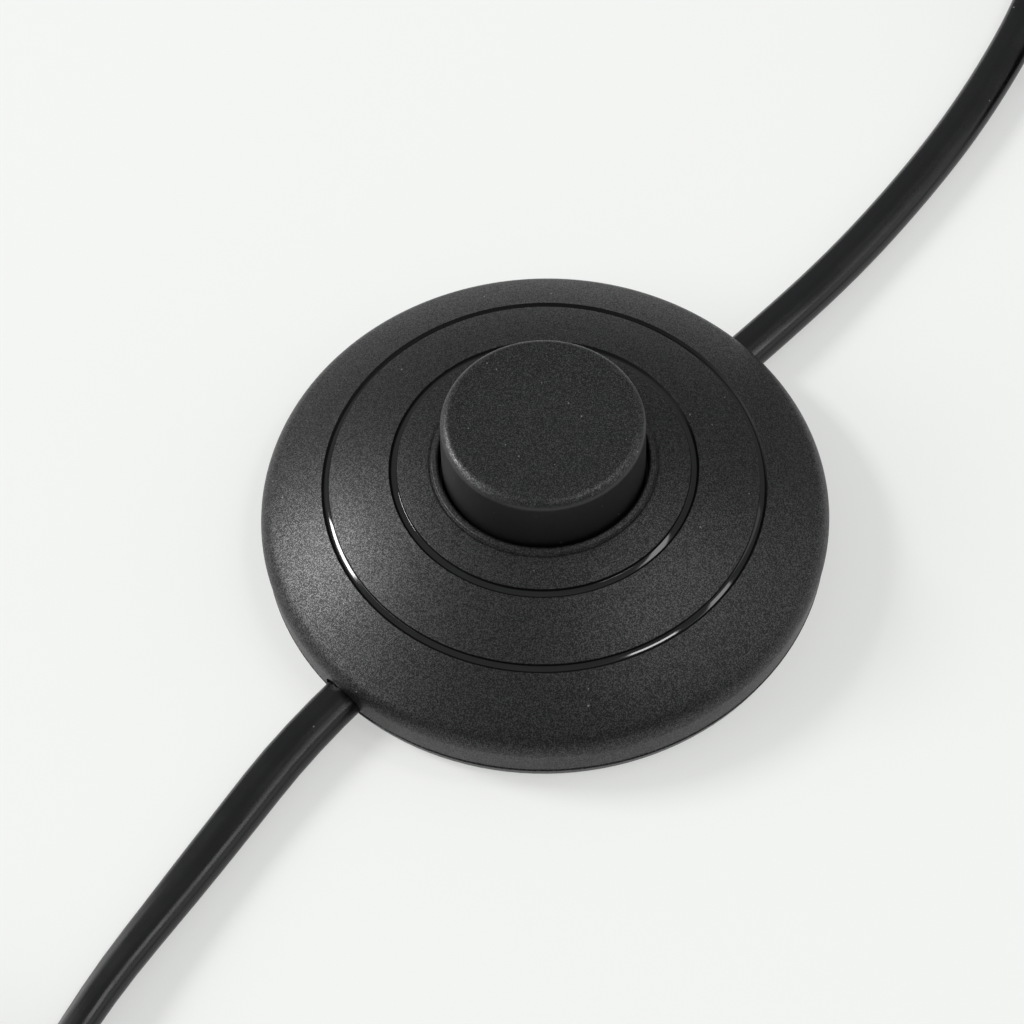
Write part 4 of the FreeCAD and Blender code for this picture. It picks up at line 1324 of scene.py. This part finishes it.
@dataclass
class FlatCord:
    """Flat twin cord along one smooth line, turned on edge where it is coiled."""

    name: str
    side: Side
    run: list[Point3]
    coil: TiedCoil
    tail: list[Point3]
    twists: list[tuple[float, float]]
    nodes: tuple[str, ...]
    far_end: str
    width: float = 5.0 * MM
    thickness: float = 3.0 * MM
    crown: float = 0.16 * MM
    crown_steps: int = 6
    edge_points: int = 11
    exit_x: float = 32.5 * MM
    start_x: float = 21.5 * MM
    lead_x: float = 36.0 * MM
    start_height: float = 2.5 * MM

    def route(self) -> list[Point3]:
        """Control points from inside the housing to the far end."""
        start = [(self.side.value * x, 0.0, self.start_height) for x in (self.start_x, self.lead_x)]
        return start + self.run + self.coil.winding() + self.tail

    def section(self) -> list[Point2]:
        """Outline of the flat sheath across the line: round edges and slightly crowned flats.

        Returns:
            Points of (across, up) in order.
        """
        edge = self.thickness / 2
        flat = self.width / 2 - edge
        right = arc((flat, 0.0), edge, -90, 90, self.edge_points)
        left = arc((-flat, 0.0), edge, 90, 270, self.edge_points)
        crowned = []
        for step in range(1, self.crown_steps):
            share = step / self.crown_steps
            crowned.append((flat * (1 - 2 * share), edge + self.crown * math.sin(math.pi * share)))
        return right + crowned + left + [(-across, -up) for across, up in crowned]

    def twist(self, along: float, length: float) -> float:
        """Turn of the cord's width out of the level, in radians, at a distance along it.

        Args:
            along: The distance.
            length: Length of the whole cord.

        Returns:
            The turn.
        """
        keys = [(where if where >= 0 else length + where, turn) for where, turn in self.twists]
        before = keys[0]
        for key in keys:
            if along <= key[0]:
                share = eased((along - before[0]) / max(key[0] - before[0], MM))
                return math.radians(before[1] + (key[1] - before[1]) * share)
            before = key
        return math.radians(before[1])

    def build(self) -> tuple[Piece, list[Vector]]:
        """Carries the section along the line.

        Returns:
            The cord and the points that it follows.
        """
        line = spline_points(self.name, self.route())
        steps = [(after - before).length for before, after in zip(line, line[1:])]
        length = sum(steps)
        section = self.section()
        vertices, alongs = [], []
        along = 0.0
        for number, point in enumerate(line):
            level, upward = sideways(line, number)
            turn = self.twist(along, length)
            across_way = level * math.cos(turn) + upward * math.sin(turn)
            up_way = upward * math.cos(turn) - level * math.sin(turn)
            vertices += [point + across_way * across + up_way * up for across, up in section]
            alongs += [along] * len(section)
            along += steps[number] if number < len(steps) else 0.0
        size, rings = len(section), len(line)
        faces = [(ring * size + n, ring * size + (n + 1) % size, (ring + 1) * size + (n + 1) % size,
                  (ring + 1) * size + n) for ring in range(rings - 1) for n in range(size)]
        faces += [tuple(reversed(range(size))), tuple(range((rings - 1) * size, rings * size))]
        mesh = bpy.data.meshes.new(self.name)
        mesh.from_pydata(vertices, [], faces)
        mesh.attributes.new("along", "FLOAT", "POINT").data.foreach_set("value", alongs)
        around = [n / size for n in range(size)] * rings
        mesh.attributes.new("around", "FLOAT", "POINT").data.foreach_set("value", around)
        cord = bpy.data.objects.new(self.name, mesh)
        bpy.context.scene.collection.objects.link(cord)
        with Bench.editing(cord):
            Bench.face_outwards()
        log.info("%s: %.3f m long", self.name, length)
        return Bench.smooth(cord, degrees=45), line

    def crossings(self, line: Sequence[Vector], angle: float, reach: float = 12.0 * MM) -> list[Point2]:
        """Outlines of the coil's turns where they pass an angle.

        Args:
            line: The points that the cord follows.
            angle: Angle round the coil's middle, in degrees.
            reach: How far from the coil's middle radius a turn may lie.

        Returns:
            Points of (distance from the coil's middle, height).
        """
        out = Vector((math.cos(math.radians(angle)), math.sin(math.radians(angle))))
        middle = Vector(self.coil.centre)
        length = line_length(line)
        along = 0.0
        points = []
        for before, after in zip(line, line[1:]):
            step = (after - before).length
            first, second = out.cross(before.to_2d() - middle), out.cross(after.to_2d() - middle)
            distance = out.dot(before.to_2d() - middle)
            if first * second <= 0 and first != second and abs(distance - self.coil.middle_radius) < reach:
                share = first / (first - second)
                height = before.lerp(after, share).z
                turn = self.twist(along + step * share, length)
                for across, up in self.section():
                    points.append((distance + across * math.cos(turn) - up * math.sin(turn),
                                   height + across * math.sin(turn) + up * math.cos(turn)))
            along += step
        return points

    def dress(self, cord: Piece, line: list[Vector], on_cord: Sequence[Piece]) -> Piece:
        """Args:
            cord: The cord's piece.
            line: The points that it follows; not used.
            on_cord: Other pieces on the cord, such as its plug; not used.

        Returns:
            The cord.
        """
        finished(Paint.coat(cord, "sheath"), HOUSING, "sheath", *self.nodes)
        return cord


SUPPLY_COIL = TiedCoil(centre=(-131.0 * MM, 2.0 * MM), middle_radius=27.5 * MM, columns=4, start_angle=-63.0,
                       turns=7.106, climb_share=0.553)
LAMP_COIL = TiedCoil(centre=(125.0 * MM, -6.0 * MM), middle_radius=25.0 * MM, columns=2, start_angle=121.0,
                     turns=3.28, climb_share=0.553)


def in_metres(points: Sequence[Point3]) -> list[Point3]:
    """Points given in millimetres, in metres."""
    return [(x * MM, y * MM, z * MM) for x, y, z in points]


SUPPLY_RUN = in_metres([(-57.0, -4.1, 1.72), (-80.5, -9.0, 2.35), (-101.0, -18.1, 2.55),
                        (-110.0, -23.6, 3.1)])
SUPPLY_TAIL = in_metres([(-146.0, -32.4, 7.7), (-154.5, -33.0, 3.2), (-163.0, -32.6, 1.8),
                         (-171.6, -32.3, 2.1), (-179.4, -28.4, 4.3), (-185.0, -21.0, 6.85)])
LAMP_RUN = in_metres([(52.0, 0.9, 1.72), (67.0, 2.8, 1.7), (80.5, 5.5, 1.7), (95.0, 9.9, 1.8),
                      (104.0, 13.8, 2.6)])
LAMP_TAIL = in_metres([(149.3, -10.1, 11.0), (145.2, -21.3, 12.9), (137.5, -27.6, 13.0),
                       (125.0, -31.0, 12.85), (112.5, -27.7, 12.85), (104.2, -19.9, 12.85)])

# Each twist is a distance along the cord, or back from its end where it is below 0, and a turn in degrees.
SUPPLY_TWISTS = [(0.0, 0.0), (0.022, 0.0), (0.066, 48.0), (0.102, 90.0), (-0.072, 90.0), (-0.04, 0.0)]
LAMP_TWISTS = [(0.0, 0.0), (0.074, 0.0), (0.1, 90.0), (-0.085, 90.0), (-0.05, 0.0)]


@dataclass
class CoilTie:
    """Flat wire tie pulled tight round the turns of a coil, with its ends twisted together on top."""

    name: str
    node: str
    coil: TiedCoil
    angle: float
    width: float = 3.0 * MM
    thickness: float = 0.6 * MM
    slack: float = 0.12 * MM
    twist_length: float = 13.0 * MM
    twist_turns: float = 2.5
    twist_width: float = 2.1 * MM
    twist_steps: int = 40
    end_length: float = 5.0 * MM
    end_spread: float = 24.0

    def band(self, outline: Sequence[Point2]) -> Piece:
        """Closed band round the outline of the turns.

        Args:
            outline: Corners of the outline, anticlockwise.

        Returns:
            The band.
        """
        section = spread(outline, self.thickness / 2 + self.slack)
        band = Bench.drawn(self.name, [Vector((x, -self.width / 2, z)) for x, z in section])
        with Bench.editing(band):
            bpy.ops.mesh.select_all(action="SELECT")
            bpy.ops.mesh.extrude_region_move(TRANSFORM_OT_translate={"value": (0, self.width, 0)})
            Bench.face_outwards()
        Bench.modify(band, "SOLIDIFY", thickness=self.thickness, offset=0.0)
        return Bench.modify(band, "BEVEL", width=self.thickness / 4, segments=2)

    def twisted(self, start: Vector) -> Piece:
        """The two ends, wound round each other along y.

        Args:
            start: Where the twist starts.

        Returns:
            The twist.
        """
        loops = []
        for step in range(self.twist_steps + 1):
            share = step / self.twist_steps
            turn = Matrix.Rotation(2 * math.pi * self.twist_turns * share, 3, "Y")
            middle = start + Vector((0, self.twist_length * share, 0))
            section = rounded_section(self.twist_width / 2, self.thickness, self.thickness / 2)
            loops.append([middle + turn @ Vector((x, 0, z)) for x, z in section])
        return Bench.lofted("tie_twist", loops)

    def build(self, turns: Sequence[Point2]) -> Piece:
        """Builds the band, the twist and its two loose ends, and sets them on the coil.

        Args:
            turns: Outlines of the turns that the tie holds, as points of (distance, height).

        Returns:
            The tie.
        """
        outline = wrapped(turns)
        top = max(height for _, height in outline)
        highest = [distance for distance, height in outline if top - height < self.slack]
        above = top + self.slack + self.thickness + self.twist_width / 2
        start = Vector((sum(highest) / len(highest), 0, above))
        tie = Bench.joined(self.band(outline), self.twisted(start))
        tip = start + Vector((0, self.twist_length, 0))
        for way in (-1, 1):
            low = (-self.width / 2, -self.thickness, -self.thickness / 2)
            end = Bench.rounded_block("tie_end", low, (self.width / 2, self.end_length, self.thickness / 2),
                                      self.thickness / 4, segments=2)
            end.location = tip
            end.rotation_euler = (0, 0, way * math.radians(self.end_spread))
            Bench.joined(tie, Bench.settle(end))
        tie.rotation_euler = (0, 0, math.radians(self.angle))
        tie.location = (*self.coil.centre, 0)
        return Bench.smooth(Bench.settle(tie))

    def dress(self, tie: Piece) -> Piece:
        """Gives the tie its black coating."""
        return finished(Paint.coat(tie, "coil_tie"), HOUSING, "coil_tie", self.node)


@dataclass
class MouldedPlug:
    """Flat two-pin plug moulded onto the cord, with a slotted bend relief and ribbed grips.

    Its stations are (distance along, width, height, corner), and they and the slots' and ribs' places are in
    millimetres.
    """

    place: Point3 = SUPPLY_TAIL[-1]
    turn: float = 115.0
    stations: tuple[tuple[float, float, float, float], ...] = (
        (0.0, 7.4, 5.4, 2.4), (0.5, 8.0, 6.0, 2.6), (6.5, 9.1, 7.1, 3.1), (13.0, 10.5, 8.5, 3.6),
        (15.5, 12.4, 9.4, 4.0), (19.0, 17.5, 11.0, 4.5), (24.0, 27.4, 12.7, 4.9), (28.0, 33.4, 13.5, 5.0),
        (30.0, 35.0, 13.7, 5.0), (32.0, 35.0, 13.7, 5.0), (39.6, 35.0, 13.7, 5.0), (40.5, 34.6, 13.3, 5.0),
        (41.0, 33.6, 12.3, 5.0))
    corner_share: float = 0.98
    slot_places: tuple[float, ...] = (2.6, 5.2, 7.8, 10.4)
    slot_width: float = 1.1 * MM
    slot_floor: float = 2.1 * MM
    rib_places: tuple[float, ...] = (27.6, 29.8, 32.0, 34.2, 36.4)
    rib_width: float = 1.0 * MM
    rib_reach: float = 7.5 * MM
    rib_depth: float = 0.55 * MM
    cutter: float = 30.0 * MM
    pin_base: float = 41.0 * MM
    pin_spacing: float = 18.6 * MM
    pin_radius: float = 2.0 * MM
    pin_length: float = 19.0 * MM
    sleeve_radius: float = 1.9 * MM
    sleeve_length: float = 10.5 * MM
    tip_round: float = 1.1 * MM
    pin_root: float = 1.0 * MM
    pin_steps: int = 32

    def settled(self, piece: Piece) -> Piece:
        """Turns a piece built along x and moves it to the cord's end.

        Args:
            piece: The piece.

        Returns:
            The same piece.
        """
        piece.rotation_euler = (0, 0, math.radians(self.turn))
        piece.location = self.place
        return Bench.smooth(Bench.settle(piece), degrees=40)

    def cuts(self) -> list[Piece]:
        """Blocks that cut the relief's slots and the grips, above and below.

        Returns:
            The blocks.
        """
        blocks = []
        half = max(height for _, _, height, _ in self.stations) / 2 * MM
        for way in (-1, 1):
            for along in self.slot_places:
                heights = sorted((way * self.slot_floor, way * self.cutter))
                low = (along * MM - self.slot_width / 2, -self.cutter, heights[0])
                high = (along * MM + self.slot_width / 2, self.cutter, heights[1])
                blocks.append(Bench.rounded_block("relief_slot", low, high, self.slot_width / 4, segments=2))
            for along in self.rib_places:
                heights = sorted((way * (half - self.rib_depth), way * self.cutter))
                low = (along * MM - self.rib_width / 2, -self.rib_reach, heights[0])
                high = (along * MM + self.rib_width / 2, self.rib_reach, heights[1])
                blocks.append(Bench.rounded_block("grip_rib", low, high, self.rib_width / 3, segments=3))
        return blocks

    def build(self) -> Piece:
        """Lofts the body and cuts its slots and grips.

        Returns:
            The plug's body.
        """
        loops = []
        for along, width, height, corner in self.stations:
            section = rounded_section(width / 2 * MM, height / 2 * MM, corner * self.corner_share * MM)
            loops.append([Vector((along * MM, across, up)) for across, up in section])
        plug = Bench.lofted("moulded_plug", loops)
        Bench.carve(plug, Bench.joined(*self.cuts()))
        return self.settled(plug)

    def build_pins(self) -> Piece:
        """Turns one sleeved pin, copies it and sets both into the plug.

        Returns:
            Both pins, still along x.
        """
        section = rounded([(0.0, -self.pin_root, 0.0), (self.sleeve_radius, -self.pin_root, 0.0),
                           (self.sleeve_radius, self.sleeve_length, 0.0),
                           (self.pin_radius, self.sleeve_length, 0.0),
                           (self.pin_radius, self.pin_length, self.tip_round),
                           (0.0, self.pin_length, 0.0)], count=8)
        pin = Bench.turned("plug_pin_pair", section, self.pin_steps)
        pin.rotation_euler = (0, math.pi / 2, 0)
        pin.location = (self.pin_base, -self.pin_spacing / 2, 0)
        Bench.settle(pin)
        other = Bench.copied(pin, "plug_pin_copy")
        other.location = (0, self.pin_spacing, 0)
        return Bench.joined(pin, Bench.settle(other))

    def dress(self, plug: Piece, pins: Piece) -> list[Piece]:
        """Gives the plug its grain and the pins their sleeves and plating.

        Args:
            plug: The plug's body.
            pins: Both pins, still built along x.

        Returns:
            The plug and its pins.
        """
        finished(Paint.coat(plug, "plug"), HOUSING, "plug", "plug_body")
        Paint.coat(pins, "plated_pin")
        pins.data.materials.append(Paint.material("plug"))
        for face in pins.data.polygons:
            if face.center.x < self.pin_base + self.sleeve_length - MM / 100:
                face.material_index = 1
        return [plug, finished(self.settled(pins), HOUSING, "plated_pin", "plug_pins")]


@dataclass
class LampEnd:
    """Stripped end of the lamp cord: two insulated cores, each with its twisted copper strands."""

    end: Point3 = LAMP_TAIL[-1]
    ahead: Point3 = (-0.729, 0.685, 0.0)
    routes: tuple[tuple[Point3, ...], ...] = (
        ((-3.0, 1.25, 0.0), (1.5, 1.1, 0.0), (6.0, -0.6, -0.1), (11.5, -4.0, -0.3), (17.0, -7.4, -0.4)),
        ((-3.0, -1.25, 0.0), (1.5, -1.5, 0.0), (6.0, -3.6, -0.1), (11.0, -7.6, -0.3), (15.5, -12.2, -0.4)))
    core_radius: float = 1.1 * MM
    core_sides: int = 16
    strand_count: int = 7
    strand_sides: int = 8
    strand_steps: int = 14
    strand_radius: float = 0.165 * MM
    lay_radius: float = 0.33 * MM
    strand_length: float = 7.5 * MM
    strand_uneven: float = 0.25 * MM
    buried: float = 1.0 * MM
    lay_turns: float = 0.8

    def lines(self) -> list[list[Vector]]:
        """Points of the two cores' middles.

        Returns:
            One line of points for each core.
        """
        end, ahead, up = Vector(self.end), Vector(self.ahead), Vector((0, 0, 1))
        beside = up.cross(ahead)
        lines = []
        for number, route in enumerate(self.routes):
            points = [end + (ahead * x + beside * y + up * z) * MM for x, y, z in route]
            lines.append(spline_points(f"lamp_core_{number}", points))
        return lines

    def core(self, line: Sequence[Vector]) -> Piece:
        """Round core along a line.

        Args:
            line: The points of its middle.

        Returns:
            The core.
        """
        loops = []
        ring = arc((0.0, 0.0), self.core_radius, 0, 360, self.core_sides + 1)[:-1]
        for number, point in enumerate(line):
            level, upward = sideways(line, number)
            loops.append([point + level * x + upward * y for x, y in ring])
        return Bench.lofted("lamp_core_pair", loops)

    def strands(self) -> Piece:
        """Bunch of strands along z, laid round the first of them.

        Returns:
            The bunch.
        """
        made = []
        for number in range(self.strand_count):
            bpy.ops.object.select_all(action="DESELECT")
            across = self.lay_radius if number else 0.0
            bpy.ops.mesh.primitive_circle_add(vertices=self.strand_sides, radius=self.strand_radius,
                                              location=(across, 0, -self.buried), fill_type="NGON")
            strand = Bench.settle(Bench.added("copper_strands"))
            length = self.strand_length + self.buried - self.strand_uneven * (number % 3)
            Bench.modify(strand, "SCREW", angle=2 * math.pi * self.lay_turns, screw_offset=length,
                         steps=self.strand_steps, render_steps=self.strand_steps, use_merge_vertices=False)
            strand.rotation_euler = (0, 0, 2 * math.pi * number / (self.strand_count - 1))
            made.append(Bench.settle(strand))
        bunch = Bench.joined(*made)
        with Bench.editing(bunch):
            Bench.face_outwards()
        return Bench.smooth(bunch, degrees=50)

    def build(self) -> tuple[Piece, Piece]:
        """Builds the cores and their strands.

        Returns:
            The two cores as one piece, and the strands of both as another.
        """
        cores, bunches = [], []
        strands = self.strands()
        for line in self.lines():
            cores.append(Bench.smooth(self.core(line), degrees=45))
            bunch = Bench.copied(strands, "copper_strand_ends")
            turn = (line[-1] - line[-2]).to_track_quat("Z", "Y").to_matrix().to_4x4()
            bunch.matrix_world = Matrix.Translation(line[-1]) @ turn
            bunches.append(Bench.settle(bunch))
        bpy.data.objects.remove(strands)
        Paint.coat(cores[0], "live_core")
        Paint.coat(cores[1], "neutral_core")
        return Bench.joined(*cores), Bench.joined(*bunches)

    def dress(self, cores: Piece, strands: Piece) -> list[Piece]:
        """Sets the cores and strands on the housing, hides the nodes that they replace, and gives the strands
        their copper.
        """
        return [finished(cores, HOUSING, "live_core", "lamp_end_cores"),
                finished(Paint.coat(strands, "copper_wire"), HOUSING, "copper_wire", "lamp_end_wires")]


@dataclass(frozen=True)
class PhotoCamera:
    """Camera at the photograph's place, with its angles in degrees."""

    azimuth: float = -43.2
    elevation: float = 56.5
    roll: float = -2.05
    distance: float = 450.0 * MM
    aim: Point3 = (-0.48 * MM, 4.98 * MM, 0.0)
    focal_pixels: float = 3880.0
    image_pixels: float = 1024.0
    sensor_mm: float = 36.0
    clip_start: float = 10.0 * MM

    def build(self) -> None:
        """Adds the camera and makes it the scene's own."""
        azimuth, roll = math.radians(self.azimuth), math.radians(self.roll)
        level = Vector((math.cos(azimuth), math.sin(azimuth), 0))
        back = outward(self.azimuth, self.elevation)
        upright = back.cross(level)
        right = level * math.cos(roll) + upright * math.sin(roll)
        up = upright * math.cos(roll) - level * math.sin(roll)
        camera = bpy.data.objects.new("photo_camera", bpy.data.cameras.new("photo_camera"))
        camera.data.sensor_width = self.sensor_mm
        camera.data.lens = self.focal_pixels / self.image_pixels * self.sensor_mm
        camera.data.clip_start = self.clip_start
        turn = Matrix((right, up, back)).transposed().to_4x4()
        camera.matrix_world = Matrix.Translation(Vector(self.aim) + back * self.distance) @ turn
        bpy.context.scene.collection.objects.link(camera)
        bpy.context.scene.camera = camera


@dataclass(frozen=True)
class SoftBox:
    """Large soft lamp at an angle round the object, aimed at the housing."""

    name: str
    azimuth: float
    elevation: float
    distance: float
    size: Point2
    power: float
    roll: float = 0.0

    def build(self) -> None:
        """Adds the lamp."""
        way = outward(self.azimuth, self.elevation)
        light = bpy.data.lights.new(self.name, "AREA")
        light.shape = "RECTANGLE"
        light.size, light.size_y = self.size
        light.energy = self.power
        lamp = bpy.data.objects.new(self.name, light)
        turn = Matrix.Rotation(math.radians(self.roll), 4, "Z")
        aim = way.to_track_quat("Z", "Y").to_matrix().to_4x4() @ turn
        lamp.matrix_world = Matrix.Translation(way * self.distance) @ aim
        bpy.context.scene.collection.objects.link(lamp)


@dataclass(frozen=True)
class Studio:
    """Plain pale floor, soft light and a pale surrounding."""

    floor_size: float = 4.0
    floor_colour: Colour = (0.9, 0.91, 0.89, 1.0)
    floor_roughness: float = 0.8
    sky: Colour = (0.9, 0.93, 0.95, 1.0)
    floor_glow: float = 0.52
    zenith: float = 0.4
    horizon: float = 0.24
    horizon_band: Point2 = (0.0, 0.5)
    lamps: tuple[SoftBox, ...] = (
        SoftBox("key_strip", azimuth=-154.0, elevation=36.0, distance=2.6, size=(0.8, 0.4), power=36.0,
                roll=40.0),
        SoftBox("left_fill", azimuth=-130.0, elevation=24.0, distance=2.8, size=(2.4, 0.9), power=30.0),
        SoftBox("front_strip", azimuth=21.8, elevation=64.0, distance=2.6, size=(0.56, 0.24), power=6.0,
                roll=-32.6),
        SoftBox("side_strip", azimuth=60.0, elevation=58.0, distance=2.6, size=(1.25, 0.36), power=6.5,
                roll=51.0),
        SoftBox("right_fill", azimuth=45.0, elevation=24.0, distance=3.2, size=(3.2, 1.8), power=12.0),
    )

    def lay_floor(self) -> None:
        """Adds the floor, pale to the camera and in reflections and darkened by shadows."""
        bpy.ops.object.select_all(action="DESELECT")
        bpy.ops.mesh.primitive_plane_add(size=self.floor_size)
        floor = Bench.added("floor")
        material = bpy.data.materials.new("pale_floor")
        material.use_nodes = True
        shader = material.node_tree.nodes["Principled BSDF"]
        shader.inputs["Base Color"].default_value = self.floor_colour
        shader.inputs["Roughness"].default_value = self.floor_roughness
        graph = Graph(material.node_tree)
        rays = graph.add("LightPath").outputs
        seen = graph.math("MAXIMUM", rays["Is Camera Ray"], rays["Is Glossy Ray"])
        seen = graph.math("MAXIMUM", seen, rays["Is Transmission Ray"])
        pale = graph.add("Emission", {"Color": self.floor_colour})
        mixed = graph.add("MixShader", {0: graph.math("MULTIPLY", seen, self.floor_glow)})
        graph.feed(mixed.inputs[1], shader.outputs["BSDF"])
        graph.feed(mixed.inputs[2], pale.outputs["Emission"])
        graph.feed(material.node_tree.nodes["Material Output"].inputs["Surface"], mixed.outputs["Shader"])
        floor.data.materials.append(material)

    def surround(self) -> None:
        """Adds a pale surrounding that is darker towards the horizon."""
        world = bpy.data.worlds.new("pale_studio")
        bpy.context.scene.world = world
        world.use_nodes = True
        background = world.node_tree.nodes["Background"]
        background.inputs["Color"].default_value = self.sky
        graph = Graph(world.node_tree)
        rise = graph.add("SeparateXYZ", {"Vector": graph.add("TexCoord").outputs["Generated"]}).outputs["Z"]
        strength = graph.span(rise, *self.horizon_band, self.horizon, self.zenith)
        graph.feed(background.inputs["Strength"], strength)

    def build(self) -> None:
        """Adds the floor, the lamps and the surrounding."""
        self.lay_floor()
        for lamp in self.lamps:
            lamp.build()
        self.surround()
        bpy.context.scene.view_settings.view_transform = "Standard"


def main() -> None:
    """Builds the switch's looks, the studio and the camera."""
    logging.basicConfig(level=logging.INFO, format="%(name)s: %(message)s")
    PhotoCamera().build()
    Studio().build()
    Paint.coat_nodes()
    supply = FlatCord("supply_flat_cord", Side.SUPPLY, SUPPLY_RUN, SUPPLY_COIL, SUPPLY_TAIL, SUPPLY_TWISTS,
                      ("supply_cord", "supply_cord_coil", "supply_cord_tail"), "plug")
    supply_cord, supply_line = supply.build()
    plug = MouldedPlug()
    supply_tie = CoilTie("supply_wire_tie", "supply_coil_tie", SUPPLY_COIL, 60.0)
    on_supply = [supply_tie.dress(supply_tie.build(supply.crossings(supply_line, supply_tie.angle))),
                 *plug.dress(plug.build(), plug.build_pins())]
    supply.dress(supply_cord, supply_line, on_supply)
    lamp = FlatCord("lamp_flat_cord", Side.LAMP, LAMP_RUN, LAMP_COIL, LAMP_TAIL, LAMP_TWISTS,
                    ("lamp_cord", "lamp_cord_coil"), "bare")
    lamp_cord, lamp_line = lamp.build()
    lamp_end = LampEnd()
    lamp_tie = CoilTie("lamp_wire_tie", "lamp_coil_tie", LAMP_COIL, -60.0)
    on_lamp = [lamp_tie.dress(lamp_tie.build(lamp.crossings(lamp_line, lamp_tie.angle))),
               *lamp_end.dress(*lamp_end.build())]
    lamp.dress(lamp_cord, lamp_line, on_lamp)
    dome = Dome()
    cover = UpperCover(dome)
    cover.dress(cover.build())
    button = PushButton()
    button.dress(button.build())
    spring = ReturnSpring()
    spring.dress(spring.build())


if __name__ == "__main__":
    main()
